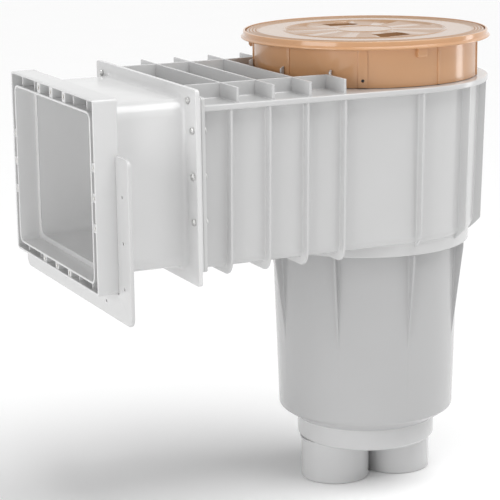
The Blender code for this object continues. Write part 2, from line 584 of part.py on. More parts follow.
def buildSleeve(mat):
    inner = SLEEVE_R - SLEEVE_WALL
    profile = [(inner, SLEEVE_BOTTOM), (SLEEVE_R - 0.001, SLEEVE_BOTTOM), (SLEEVE_R, SLEEVE_BOTTOM + 0.001),
               (SLEEVE_R, SLEEVE_TOP), (inner, SLEEVE_TOP)]
    sleeve = lathe("height_sleeve", profile, mat)
    return build(sleeve, cuts=[prisms("tool_sleeve_holes", setScrewHoles(SLEEVE_R, inner))])


def buildSetScrews(mat):
    outerR = COLLAR_R + 0.0004
    length = outerR - (SLEEVE_R - SLEEVE_WALL - 0.0006)
    profile = [(0, -0.0016), (SET_SCREW_R / 2, -0.0016), (SET_SCREW_R / 2, 0), (SET_SCREW_R, 0),
               (SET_SCREW_R, -length), (0, -length)]
    for k in range(3):
        a = math.radians(PAD_ANGLE + 3 * PAD_STEP * k)
        out = Vector((math.cos(a), math.sin(a), 0))
        place = out * outerR + Vector((0, 0, SET_SCREW_Z))
        screw, = fasteners("set_screw", profile[::-1], [place], out, mat, 10)
        screw.name = f"set_screw_{k + 1}"


def sectorOutline(r0, r1, a0, a1, z, steps=3):
    angles = np.linspace(a0, a1, steps + 1)
    near = [(r0 * math.cos(a), r0 * math.sin(a), z) for a in angles]
    far = [(r1 * math.cos(a), r1 * math.sin(a), z) for a in angles[::-1]]
    return near + far


def buildLid(mat):
    top, seat = COLLAR_TOP - GAP, LID_SEAT + GAP
    skirt, underside = COLLAR_R - COLLAR_WALL - 0.0010, COLLAR_TOP - GAP - 0.0042
    profile = [(0, top), (LID_R - 0.0022, top), (LID_R, top - 0.0016), (LID_R, seat), (skirt, seat),
               (skirt, LID_SKIRT_LOW), (skirt - 0.0026, LID_SKIRT_LOW), (skirt - 0.0026, underside),
               (0, underside)]
    lid = lathe("lid", profile, mat, closed=False)
    cups, hollows = [], []
    for s in (-1, 1):
        y0, y1 = sorted(s * y for y in CUP_Y)
        cups.append((-CUP_X, CUP_X, y0, y1, LID_SKIRT_LOW + 0.0002, top - 0.0030))
        hollows.append((-CUP_X + 0.0028, CUP_X - 0.0028, y0 + 0.0025, y1 - 0.0025, -0.0036, top + LAP))
    gaps = []
    for k in range(SECTORS):
        a0, a1 = (math.radians(360 / SECTORS * k + a) for a in (2.2, 360 / SECTORS - 2.2))
        gaps.append((sectorOutline(0.0330, LID_R - 0.0454, a0, a1, top - 0.0019), (0, 0, 0.0030)))
    return build(lid, [blocks("tool_cups", cups)],
                 [prisms("tool_sectors", gaps), blocks("tool_hollows", hollows)])


def buildBasket(mat):
    """A perforated shell: (radius, z) stations run down the wall and over the floor, with open windows."""
    steps = 36
    rim = [(BASKET_RIM_R, BASKET_RIM_Z + BASKET_T), (BASKET_R, BASKET_RIM_Z + BASKET_T)]
    t = np.array([0.05, 0.48, 0.53, 0.95])
    narrowing, depth = BASKET_LOW_R - BASKET_R, BASKET_LOW - BASKET_RIM_Z
    rows = [(BASKET_R + narrowing * v, BASKET_RIM_Z + depth * v) for v in t]
    floor = [(BASKET_LOW_R * v, BASKET_LOW) for v in (1, 0.930, 0.633, 0.589, 0.291, 0.247)]
    path = np.array(rim + rows + floor)
    windows = {2, 4, 7, 9}
    ahead = np.diff(path, axis=0)
    ahead = ahead / np.linalg.norm(ahead, axis=1)[:, None]
    corner = np.vstack([ahead[:1], ahead[:-1] + ahead[1:], ahead[-1:]])
    corner /= np.linalg.norm(corner, axis=1)[:, None]
    inward = np.column_stack([corner[:, 1], -corner[:, 0]])
    bend = np.ones(len(path))
    bend[1:-1] = 1 / np.clip((ahead[:-1] * corner[1:-1]).sum(1), 0.5, 1)
    second = path - inward * (BASKET_T * bend)[:, None]
    angle = 2 * math.pi * np.arange(steps) / steps
    verts = []
    for side in (path, second):
        for r, z in side:
            verts += [(r * math.cos(a), r * math.sin(a), z) for a in angle]
    n = len(path)

    def at(side, k, j):
        return side * n * steps + k * steps + j % steps

    def isOpen(k, j):
        return k in windows and j % (3 if k < 6 else 6) != 0

    faces = []
    for k in range(n - 1):
        for j in range(steps):
            if isOpen(k, j):
                continue
            faces += [(at(0, k, j), at(0, k + 1, j), at(0, k + 1, j + 1), at(0, k, j + 1)),
                      (at(1, k, j), at(1, k, j + 1), at(1, k + 1, j + 1), at(1, k + 1, j))]
            sides = ((k - 1, j, (at(0, k, j), at(0, k, j + 1), at(1, k, j + 1), at(1, k, j))),
                     (k + 1, j, (at(0, k + 1, j), at(1, k + 1, j), at(1, k + 1, j + 1), at(0, k + 1, j + 1))),
                     (k, j - 1, (at(0, k, j), at(1, k, j), at(1, k + 1, j), at(0, k + 1, j))),
                     (k, j + 1, (at(0, k, j + 1), at(0, k + 1, j + 1), at(1, k + 1, j + 1), at(1, k, j + 1))))
            for kk, jj, quad in sides:
                if kk < 0 or (kk < n - 1 and isOpen(kk, jj % steps)):
                    faces.append(quad)
    faces += [[at(0, n - 1, j) for j in range(steps)], [at(1, n - 1, j) for j in range(steps)]]
    basket = finish(meshOf(verts, faces, "basket"), "basket", mat)
    lugs, drills = [], []
    for s in (-1, 1):
        y0, y1 = sorted((s * (BASKET_R + 0.0005), s * (BASKET_R + 0.0005 + BASKET_LUG)))
        lugs.append((-0.0060, 0.0060, y0, y1, BASKET_RIM_Z + 0.001, HANDLE_Z + 0.0060))
        drills.append(rod((0, y0 - LAP, HANDLE_Z), (0, y1 + LAP, HANDLE_Z), HANDLE_ROD + GAP, 10))
    return build(basket, [blocks("tool_lugs_basket", lugs)], [prisms("tool_lug_holes", drills)])


def tubeAlong(name, centres, radius, mat, steps=14, closed=False):
    """A round bar through a list of centres, each ring square to the path."""
    pts = [Vector(c) for c in centres]
    bm = bmesh.new()
    rings = []
    for i, p in enumerate(pts):
        ahead = (pts[min(i + 1, len(pts) - 1)] - pts[max(i - 1, 0)]).normalized()
        if i == 0:
            side = ahead.orthogonal().normalized()
        else:
            side = (side - ahead * side.dot(ahead)).normalized()
        up = ahead.cross(side)
        rings.append([bm.verts.new(p + radius * (math.cos(a) * side + math.sin(a) * up))
                      for a in (2 * math.pi * j / steps for j in range(steps))])
    for one, two in zip(rings, rings[1:]):
        for j in range(steps):
            bm.faces.new((one[j], one[(j + 1) % steps], two[(j + 1) % steps], two[j]))
    bm.faces.new(rings[0])
    bm.faces.new(rings[-1])
    mesh = bpy.data.meshes.new(name)
    bm.to_mesh(mesh)
    bm.free()
    return finish(mesh, name, mat)


def buildHandle(mat):
    arc = [math.radians(90 + 180 * i / 28) for i in range(29)]
    pivot = [(0, BASKET_R + BASKET_LUG + 0.0003), (0, BASKET_R - 0.0010), (-0.0008, BASKET_R - 0.0035),
             (-0.0035, BASKET_R - 0.0052)]
    path = [(x, y, HANDLE_Z) for x, y in pivot]
    path += [(HANDLE_R * math.cos(a), HANDLE_R * math.sin(a), HANDLE_Z) for a in arc[2:-2]]
    path += [(x, -y, HANDLE_Z) for x, y in pivot[::-1]]
    handle = tubeAlong("basket_handle", path, HANDLE_ROD, mat, 8)
    setOrigin(handle, (0, 0, HANDLE_Z))
    return handle


def buildTrimmer(mat, screwMat):
    low, high = BASE_TOP + GAP, BASE_TOP + GAP + TRIMMER_T
    first = 180 - TRIMMER_SPAN / 2
    arc = [math.radians(first + TRIMMER_SPAN * i / 16) for i in range(17)]
    hub = [math.radians(first + TRIMMER_SPAN + (360 - TRIMMER_SPAN) * i / 12) for i in range(13)]
    outline = [(TRIMMER_R * math.cos(a), TRIMMER_R * math.sin(a), low) for a in arc]
    outline += [(TRIMMER_HUB_R * math.cos(a), TRIMMER_HUB_R * math.sin(a), low) for a in hub]
    plate = prisms("trimmer_plate", [(outline, (0, 0, TRIMMER_T))], mat)
    grip = blocks("tool_trimmer_grip", [(-TRIMMER_R + 0.0110, -TRIMMER_HUB_R - 0.0085, -0.0015, 0.0015,
                                         high - LAP, high + 0.0090)])
    hole = prisms("tool_trimmer_hole", [rod((0, 0, low - LAP), (0, 0, high + LAP), PIVOT_R + 2 * GAP)])
    build(plate, [grip], [hole])
    head = high + GAP
    screw = lathe("trimmer_screw", [(0, head + 0.0028), (0.0050, head + 0.0022), (0.0056, head),
                                    (PIVOT_R, head), (PIVOT_R, BASE_TOP - 0.0110), (0, BASE_TOP - 0.0110)],
                  screwMat, steps=16, closed=False)
    slot = blocks("tool_trimmer_slot", [(-0.0060, 0.0060, -0.0005, 0.0005, high + 0.0018, high + 0.0060)])
    return plate, build(screw, cuts=[slot])


def buildPlug(mat, rubber):
    top, groove = BASE_TOP - 2 * GAP, PLUG_GROOVE
    neck, bore = PLUG_R - 0.0026, PLUG_R - 0.0040
    profile = [(0, top), (PLUG_R - 0.001, top), (PLUG_R, top - 0.001), (PLUG_R, groove + 0.0018),
               (neck, groove + 0.0018), (neck, groove - 0.0018), (PLUG_R, groove - 0.0018),
               (PLUG_R - 0.0006, PLUG_LOW), (bore, PLUG_LOW), (bore, top - 0.012), (0, top - 0.012)]
    plug = lathe("port_plug", profile, mat, steps=24, x=PORT_X, closed=False)
    half = PLUG_R * 0.65
    well = blocks("tool_plug_grip", [(PORT_X - half, PORT_X + half, y, y + 0.0060, top - 0.0085, top + LAP)
                                     for y in (-0.0075, 0.0015)])
    build(plug, cuts=[well])
    middle, r = PORT_BORE - 0.00155, 0.00125
    ring = lathe("plug_oring", [(middle + r * math.cos(a), groove + r * math.sin(a))
                                for a in (2 * math.pi * i / 6 for i in range(6))], rubber, steps=24, x=PORT_X)
    return plug, ring


def buildWeir(mat, foamMat, pinMat, springMat):
    x0, x1 = WEIR_X - WEIR_T / 2, WEIR_X + WEIR_T / 2
    tray = blocks("weir_door", [(x0, x1 - WEIR_SKIN, -WEIR_HALF, WEIR_HALF, WEIR_LOW, WEIR_TOP)], mat)
    pocket = (x0 + WEIR_SKIN, x1, -WEIR_HALF + WEIR_SKIN, WEIR_HALF - WEIR_SKIN, WEIR_LOW + WEIR_SKIN,
              WEIR_TOP - WEIR_SKIN)
    hinge = WEIR_HALF - 0.0090
    barrel = prisms("tool_weir_barrel", [rod((WEIR_X, -hinge, WEIR_Z), (WEIR_X, hinge, WEIR_Z), WEIR_BARREL)])
    neck = blocks("tool_weir_neck", [(WEIR_X - 0.0030, WEIR_X + 0.0020, -hinge, hinge,
                                      WEIR_Z, WEIR_LOW + LAP)])
    drill = prisms("tool_weir_drill", [rod((WEIR_X, s * (hinge - 0.0150), WEIR_Z),
                                           (WEIR_X, s * (hinge + LAP), WEIR_Z), WEIR_PIN_R + GAP)
                                       for s in (-1, 1)])
    build(tray, [barrel, neck], [blocks("tool_weir_pocket", [pocket]), drill])
    foam = [pocket[0] + GAP, x1 - WEIR_SKIN - GAP] + [v + (GAP if i % 2 == 0 else -GAP)
                                                      for i, v in enumerate(pocket[2:])]
    floatBlock = blocks("weir_float", [foam], foamMat)
    cover = blocks("weir_cover", [(x1 - WEIR_SKIN + GAP, x1, -WEIR_HALF, WEIR_HALF, WEIR_LOW, WEIR_TOP)], mat)
    for side, s in (("right", -1), ("left", 1)):
        near, far = WEIR_BRACKET
        y0, y1 = sorted((s * near, s * far))
        bracket = blocks(f"weir_bracket_{side}", [(WEIR_X - 0.0080, WEIR_X + 0.0080, y0, y1, FLOOR_IN + GAP,
                                                   WEIR_Z + 0.0075)], mat)
        bore = rod((WEIR_X, y0 - 0.0005, WEIR_Z), (WEIR_X, y1 + 0.0005, WEIR_Z), WEIR_PIN_R + GAP)
        build(bracket, cuts=[prisms(f"tool_bracket_hole_{side}", [bore])])
        pin = rod((WEIR_X, s * (hinge - 0.0145), WEIR_Z), (WEIR_X, s * (far - 0.0002), WEIR_Z), WEIR_PIN_R)
        prisms(f"weir_pin_{side}", [pin], pinMat)
        start, run = hinge + 0.0012, near - hinge - 0.0023
        coil = [(WEIR_X + WEIR_SPRING_R * math.cos(a), s * (start + run * a / (7 * math.pi)),
                 WEIR_Z + WEIR_SPRING_R * math.sin(a)) for a in (2 * math.pi * i / 12 for i in range(43))]
        tubeAlong(f"weir_spring_{side}", coil, 0.0005, springMat, 5)
    for obj in (tray, floatBlock, cover):
        setOrigin(obj, (WEIR_X, 0, WEIR_Z))
    return tray, floatBlock, cover


def main():
    clearScene()
    white = material("white_abs", (0.80, 0.80, 0.79), 0.35)
    buildHousing(white)
    buildBowl(material("bowl_abs", (0.78, 0.78, 0.77), 0.35))
    buildPortBase(material("base_abs", (0.78, 0.78, 0.77), 0.35))
    buildExtension(material("extension_abs", (0.80, 0.80, 0.79), 0.35))
    buildFrame(material("frame_abs", (0.82, 0.82, 0.81), 0.35))
    buildWallFlange(material("flange_abs", (0.80, 0.80, 0.79), 0.35))
    buildInserts(material("brass", (0.78, 0.57, 0.27), 0.35, 1.0))
    buildGasket(material("gasket_rubber", (0.03, 0.03, 0.03), 0.7))
    buildJointScrews(material("screw_steel", (0.62, 0.62, 0.60), 0.3, 1.0),
                     material("nut_steel", (0.60, 0.60, 0.58), 0.3, 1.0))
    buildCollar(material("collar_abs", (0.66, 0.38, 0.20), 0.35))
    buildSleeve(material("sleeve_abs", (0.80, 0.80, 0.79), 0.35))
    buildSetScrews(material("set_screw_steel", (0.55, 0.55, 0.54), 0.3, 1.0))
    buildLid(material("lid_abs", (0.68, 0.40, 0.22), 0.30))
    buildBasket(material("basket_pp", (0.84, 0.85, 0.86), 0.45))
    buildHandle(material("handle_pp", (0.84, 0.85, 0.86), 0.45))
    buildTrimmer(material("trimmer_abs", (0.75, 0.76, 0.76), 0.4),
                 material("trimmer_screw_steel", (0.60, 0.60, 0.58), 0.3, 1.0))
    buildPlug(material("plug_abs", (0.70, 0.70, 0.70), 0.4),
              material("oring_rubber", (0.02, 0.02, 0.02), 0.6))
    buildWeir(material("weir_abs", (0.80, 0.81, 0.81), 0.35), material("foam", (0.86, 0.86, 0.80), 0.9),
              material("pin_steel", (0.62, 0.62, 0.60), 0.3, 1.0),
              material("spring_steel", (0.50, 0.50, 0.50), 0.3, 1.0))


main()
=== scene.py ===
import math

import bmesh
import bpy
import numpy as np
from mathutils import Matrix, Vector


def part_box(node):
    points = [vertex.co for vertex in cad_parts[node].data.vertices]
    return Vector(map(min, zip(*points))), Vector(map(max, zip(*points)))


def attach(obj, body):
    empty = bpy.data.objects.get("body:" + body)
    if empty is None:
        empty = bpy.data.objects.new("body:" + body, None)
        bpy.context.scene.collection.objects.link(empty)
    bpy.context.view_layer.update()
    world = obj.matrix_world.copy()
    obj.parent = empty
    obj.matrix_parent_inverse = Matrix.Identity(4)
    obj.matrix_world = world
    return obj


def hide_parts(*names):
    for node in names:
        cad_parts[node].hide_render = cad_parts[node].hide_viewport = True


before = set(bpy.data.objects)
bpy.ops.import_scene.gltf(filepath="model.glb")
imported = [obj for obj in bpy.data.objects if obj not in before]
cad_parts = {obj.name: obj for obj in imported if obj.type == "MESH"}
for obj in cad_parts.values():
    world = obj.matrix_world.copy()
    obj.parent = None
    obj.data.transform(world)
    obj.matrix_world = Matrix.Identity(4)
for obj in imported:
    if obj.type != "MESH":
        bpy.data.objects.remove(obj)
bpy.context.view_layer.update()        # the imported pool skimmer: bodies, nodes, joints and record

mm = 0.001  # every size below is in millimetres


def cad(node):  # lowest and highest corners of a CAD node
    low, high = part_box(node)
    return np.array(low) / mm, np.array(high) / mm


# ---- outlines: rows of 2-D points ----

def arc(cx, cy, r, start, end, steps):  # (cx + r cos a, cy + r sin a), from start to end in degrees
    a = np.radians(np.linspace(start, end, steps + 1))
    return np.column_stack([cx + r * np.cos(a), cy + r * np.sin(a)])


def softened(corners, radii, steps=4, closed=True):
    # Each corner becomes an arc that leaves its two sides r / tan(half the corner's angle) away from it.
    pts = np.asarray(corners, float)
    radii = np.broadcast_to(radii, len(pts))
    out = []
    for i, r in enumerate(radii):
        before, after = pts[i - 1] - pts[i], pts[(i + 1) % len(pts)] - pts[i]
        far = min(np.linalg.norm(before), np.linalg.norm(after))
        ends = not closed and i in (0, len(pts) - 1)
        if r <= 0 or ends or far < 1e-9:
            out.append(pts[i][None])
            continue
        u, w = before / np.linalg.norm(before), after / np.linalg.norm(after)
        half = math.acos(max(-1.0, min(1.0, float(u @ w)))) / 2
        if half > math.pi / 2 - 0.02:
            out.append(pts[i][None])
            continue
        reach = min(r / math.tan(half), 0.49 * far)
        r = reach * math.tan(half)
        middle = pts[i] + (u + w) / np.linalg.norm(u + w) * r / math.sin(half)
        first, last = pts[i] + u * reach - middle, pts[i] + w * reach - middle
        turn = math.pi - 2 * half
        k = np.linspace(0, 1, steps + 1)[:, None]
        out.append(middle + (np.sin((1 - k) * turn) * first + np.sin(k * turn) * last) / math.sin(turn))
    return np.vstack(out)


def rectangle(a0, a1, b0, b1, corner=0.0, steps=5):  # a rectangle with round corners, counter-clockwise
    return softened([(a0, b0), (a1, b0), (a1, b1), (a0, b1)], corner, steps)


def anticlockwise(outline):
    a, b = outline[:, 0], outline[:, 1]
    area = (a * np.roll(b, -1) - np.roll(a, -1) * b).sum()
    return outline if area > 0 else outline[::-1]


def inset(outline, d):
    # Every side moves inwards by d, so a corner moves d / cos(half its turn) along its bisector.
    ahead = np.roll(outline, -1, 0) - outline
    ahead /= np.linalg.norm(ahead, axis=1)[:, None]
    behind = np.roll(ahead, 1, 0)
    n1, n2 = np.column_stack([-ahead[:, 1], ahead[:, 0]]), np.column_stack([-behind[:, 1], behind[:, 0]])
    bisector = n1 + n2
    bisector /= np.linalg.norm(bisector, axis=1)[:, None]
    return outline + bisector * (d / np.clip((bisector * n1).sum(1), 0.35, 1))[:, None]


def ribSection(width, height, root, edge, sink=0.6, steps=4):
    # A rib's cross-section standing on height 0: fillets of radius root at its foot, round edges at its top.
    half = width / 2
    side = np.vstack([arc(half + root, root, root, 270, 180, steps),
                      arc(half * 0.86 - edge, height - edge, edge, 0, 90, steps)])
    top = side[::-1] * [-1, 1]
    return anticlockwise(np.vstack([[(half + root, -sink)], side, top, [(-half - root, -sink)]]))


# ---- shells: closed surfaces as (points, quads, caps) ----

def gridFaces(rows, cols, closeRows=False, closeCols=False):  # quads between neighbours on a grid of points
    i = np.arange(rows if closeRows else rows - 1)[:, None]
    j = np.arange(cols if closeCols else cols - 1)[None, :]
    corners = (i * cols + j, i * cols + (j + 1) % cols, (i + 1) % rows * cols + (j + 1) % cols,
               (i + 1) % rows * cols + j)
    return np.stack(np.broadcast_arrays(*corners), -1).reshape(-1, 4)


def surface(points, closeRows=False, closeCols=False, caps=()):  # rows x columns x 3; a cap fills one row
    rows, cols = points.shape[:2]
    fills = [[row % rows * cols + j for j in range(cols)] for row in caps]
    return points.reshape(-1, 3), gridFaces(rows, cols, closeRows, closeCols), fills


def lathe(profile, steps=128, closed=True, centre=(0.0, 0.0)):
    # (radius, height) points turned about a vertical axis: (r cos a, r sin a, z)
    r, z = np.asarray(profile, float).T
    a = 2 * np.pi * np.arange(steps)[:, None] / steps
    pts = np.stack([centre[0] + r * np.cos(a), centre[1] + r * np.sin(a),
                    np.broadcast_to(z, (steps, len(z)))], -1)
    return surface(pts, closeRows=True, closeCols=closed)


def roundOver(line, face, way, edge, degrees):
    # Rows over a round edge. At angle a the outline line(d) has come in by d = e(1 - sin a),
    # at e(1 - cos a) from the face.
    return [(face + way * edge * (1 - math.cos(a)), line(edge * (1 - math.sin(a))))
            for a in np.radians(degrees)]


def acrossX(rows):  # rows of (X, outline in Y and Z) to points
    return np.array([np.column_stack([np.full(len(line), x), line]) for x, line in rows])


def slab(outline, low, high, edge=0.6, axis="x", steps=3):
    # An outline pushed from low to high. Near each end it shrinks by e(1 - sin a) as it moves e(1 - cos a).
    pts = anticlockwise(np.asarray(outline, float))
    a = np.radians(np.linspace(0, 90, steps + 1))
    rows = [(low + edge * (1 - math.cos(t)), edge * (1 - math.sin(t))) for t in a]
    rows += [(high - edge * (1 - math.cos(t)), edge * (1 - math.sin(t))) for t in a[::-1]]
    order = {"x": (2, 0, 1), "y": (0, 2, 1), "z": (0, 1, 2)}[axis]
    layers = [np.column_stack([inset(pts, d), np.full(len(pts), at)])[:, order] for at, d in rows]
    return surface(np.array(layers), closeCols=True, caps=(0, -1))


def ringSlab(outer, inner, low, high, edge=0.6, axis="x", steps=3):
    # Two outlines with as many points each, the inner one a hole: a closed ring of rounded cross-section.
    a = np.radians(np.linspace(0, 90, steps + 1))
    rows = [(outer, low + edge * (1 - math.cos(t)), edge * (1 - math.sin(t))) for t in a]
    rows += [(outer, high - edge * (1 - math.cos(t)), edge * (1 - math.sin(t))) for t in a[::-1]]
    rows += [(inner, high - edge * (1 - math.cos(t)), -edge * (1 - math.sin(t))) for t in a]
    rows += [(inner, low + edge * (1 - math.cos(t)), -edge * (1 - math.sin(t))) for t in a[::-1]]
    order = {"x": (2, 0, 1), "y": (0, 2, 1), "z": (0, 1, 2)}[axis]
    layers = [np.column_stack([inset(line, d), np.full(len(line), at)])[:, order] for line, at, d in rows]
    return surface(np.array(layers), closeRows=True, closeCols=True)


def tube(path, radius, steps=16, closed=False):
    # A circle carried along a path, square to it: p + r(cos a u + sin a v), u turning as little as it can.
    p = np.asarray(path, float)
    radius = np.broadcast_to(radius, len(p))
    if closed:
        ahead = np.roll(p, -1, 0) - np.roll(p, 1, 0)
    else:
        ahead = np.gradient(p, axis=0)
    ahead /= np.linalg.norm(ahead, axis=1)[:, None]
    u = np.cross(ahead[0], [0.31, 0.52, 0.79])
    rows = []
    for t, centre, r in zip(ahead, p, radius):
        u = u - t * (u @ t)
        u /= np.linalg.norm(u)
        a = 2 * np.pi * np.arange(steps)[:, None] / steps
        rows.append(centre + r * (np.cos(a) * u + np.sin(a) * np.cross(t, u)))
    return surface(np.array(rows), closeRows=closed, closeCols=True, caps=() if closed else (0, -1))


def turned(shell, degrees):  # a shell turned about the well's axis
    c, s = math.cos(math.radians(degrees)), math.sin(math.radians(degrees))
    return shell[0] @ np.array([[c, s, 0], [-s, c, 0], [0, 0, 1]]), shell[1], shell[2]


def placed(shell, turn, at):  # a shell turned by a rotation matrix, then moved
    return shell[0] @ np.array(turn).T + np.asarray(at, float), shell[1], shell[2]


def aimed(direction):  # the rotation that lays +Z along a direction
    return np.array(Vector((0, 0, 1)).rotation_difference(Vector(direction)).to_matrix())


def around(rows, steps):  # rows of (radius at each of the steps, height) to points: (r cos a, r sin a, z)
    a = 2 * np.pi * np.arange(steps) / steps
    return np.array([np.column_stack([r * np.cos(a), r * np.sin(a), np.full(steps, z)]) for r, z in rows])


def meshOf(name, shells):
    points, faces, count = [], [], 0
    for pts, quads, caps in shells:
        points.append(pts)
        faces += (quads + count).tolist() + [[i + count for i in cap] for cap in caps]
        count += len(pts)
    mesh = bpy.data.meshes.new(name)
    mesh.from_pydata(np.vstack(points) * mm, [], faces)
    bm = bmesh.new()
    bm.from_mesh(mesh)
    bmesh.ops.remove_doubles(bm, verts=bm.verts, dist=2e-6)
    bmesh.ops.dissolve_degenerate(bm, edges=bm.edges, dist=1e-7)
    bmesh.ops.recalc_face_normals(bm, faces=bm.faces)
    bmesh.ops.triangulate(bm, faces=[f for f in bm.faces if len(f.verts) > 4], ngon_method="EAR_CLIP")
    bm.to_mesh(mesh)
    bm.free()
    return mesh


def linked(name, data):  # a new object in the scene
    obj = bpy.data.objects.new(name, data)
    bpy.context.collection.objects.link(obj)
    return obj


def combined(obj, shells, operation):  # a Boolean with closed shells, kept as the piece's finished mesh
    other = linked("other", meshOf("other", shells))
    step = obj.modifiers.new("step", "BOOLEAN")
    step.operation, step.solver, step.object = operation, "EXACT", other
    graph = bpy.context.evaluated_depsgraph_get()
    finished = bpy.data.meshes.new_from_object(obj.evaluated_get(graph))
    obj.modifiers.clear()
    old, obj.data = obj.data, finished
    bpy.data.meshes.remove(old)
    bpy.data.objects.remove(other)


def drilled(obj, shells):
    combined(obj, shells, "DIFFERENCE")


def drilledMesh(name, shells, holes):  # shells with holes through them, as a mesh to join to a piece
    obj = linked(name, meshOf(name, shells))
    drilled(obj, holes)
    mesh = obj.data
    bpy.data.objects.remove(obj)
    return mesh


def smoothed(obj, sharp=38):
    # Smooth shading, with an edge kept crisp where its faces meet at more than this angle.
    obj.data.polygons.foreach_set("use_smooth", np.ones(len(obj.data.polygons), bool))
    obj.data.set_sharp_from_angle(angle=math.radians(sharp))


def addMesh(obj, mesh):  # joins a mesh to a piece
    bm = bmesh.new()
    bm.from_mesh(obj.data)
    bm.from_mesh(mesh)
    bm.to_mesh(obj.data)
    bm.free()
    bpy.data.meshes.remove(mesh)
    smoothed(obj)


def makePiece(name, shells, finish, body, nodes=(), sharp=38, holes=None):
    obj = linked(name, meshOf(name, shells))
    if holes:
        drilled(obj, holes)
    smoothed(obj, sharp)
    obj.data.materials.clear()
    obj.data.materials.append(finish)
    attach(obj, body)
    if nodes:
        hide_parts(*nodes)
    return obj


# ---- finishes ----

class Term:  # a shader socket that takes part in sums: 1 - mask, a * b, a / 2 and so on
    def __init__(self, shop, socket):
        self.shop, self.socket = shop, socket

    def math(self, operation, *values):
        return self.shop.node("Math", {"operation": operation}, dict(enumerate(values)))

    def __add__(self, other): return self.math("ADD", self, other)
    def __radd__(self, other): return self.math("ADD", other, self)
    def __sub__(self, other): return self.math("SUBTRACT", self, other)
    def __rsub__(self, other): return self.math("SUBTRACT", other, self)
    def __mul__(self, other): return self.math("MULTIPLY", self, other)
    def __rmul__(self, other): return self.math("MULTIPLY", other, self)
    def __truediv__(self, other): return self.math("DIVIDE", self, other)
    def __pow__(self, other): return self.math("POWER", self, other)


class Finish:  # one material: constants sit on the shader's own sockets, and patterns are added as nodes
    def __init__(self, name, colour, **constants):
        self.material = bpy.data.materials.new(name)
        self.material.use_nodes = True
        self.material.diffuse_color = (*colour, 1)
        self.tree = self.material.node_tree
        self.shader = self.tree.nodes["Principled BSDF"]
        self.shader.inputs["Base Color"].default_value = (*colour, 1)
        for key, value in constants.items():
            self.shader.inputs[key.replace("_", " ")].default_value = value

    def feed(self, socket, value):
        if isinstance(value, Term):
            self.tree.links.new(value.socket, socket)
        elif isinstance(value, (tuple, list)) and socket.type == "RGBA" and len(value) == 3:
            socket.default_value = (*value, 1)
        else:
            socket.default_value = value

    def node(self, kind, settings=None, sockets=None, out=0):
        made = self.tree.nodes.new("ShaderNode" + kind)
        for key, value in (settings or {}).items():
            if key == "stops":
                ramp = made.color_ramp
                while len(ramp.elements) < len(value):
                    ramp.elements.new(0.5)
                for element, (at, level) in zip(ramp.elements, value):
                    element.position, element.color = at, (level, level, level, 1)
            else:
                setattr(made, key, value)
        for key, value in (sockets or {}).items():
            self.feed(made.inputs[key], value)
        return Term(self, made.outputs[out])

    def place(self, scale=(1, 1, 1)):
        where = self.node("TexCoord", out="Object")
        return self.node("Mapping", None, {"Vector": where, "Scale": scale})

    def noise(self, scale, detail=3.0, rough=0.55, where=None):
        return self.node("TexNoise", None, {"Vector": where or self.place(), "Scale": scale, "Detail": detail,
                                            "Roughness": rough})

    def mix(self, factor, one, two, blend="MIX"):
        return self.node("Mix", {"data_type": "RGBA", "blend_type": blend}, {0: factor, 6: one, 7: two},
                         out=2)

    def bump(self, height, strength, distance, under=None):
        sockets = {"Height": height, "Strength": strength, "Distance": distance}
        if under is not None:
            sockets["Normal"] = under
        return self.node("Bump", None, sockets)

    def set(self, key, value):
        self.feed(self.shader.inputs[key], value)
        return self


mouldedPlastic = dict(grain=900.0, wave=14.0, marks=60.0)  # pattern sizes per metre


def moulded(name, colour, shade, rough, coat=0.0, waveDepth=0.12, spread=0.10):
    # Moulded plastic: a slightly uneven tint, gloss in soft patches, faint flow waves and a fine skin.
    made = Finish(name, colour, Roughness=rough, Coat_Weight=coat, Coat_Roughness=0.06,
                  Specular_IOR_Level=0.5)
    patches = made.noise(mouldedPlastic["wave"], 1.0)
    marks = made.noise(mouldedPlastic["marks"], 3.0, 0.5)
    grain = made.noise(mouldedPlastic["grain"], 2.0, 0.5)
    tint = made.node("ValToRGB", {"stops": [(0.25, 0.0), (0.75, 1.0)]}, {"Fac": patches * 0.8 + marks * 0.2})
    made.set("Base Color", made.mix(tint, shade, colour))
    made.set("Roughness", rough - spread / 2 + spread * (marks * 0.5 + patches * 0.5))
    skin = made.bump(grain, 0.03, 0.0001)
    made.set("Normal", made.bump(patches, waveDepth, 0.0010, skin))
    return made.material


lidPattern = dict(ring=0.1196, pitch=0.0034, rings=(0.1148, 0.1276), sectors=10, star=(0.0315, 0.0852),
                  soft=0.0006)


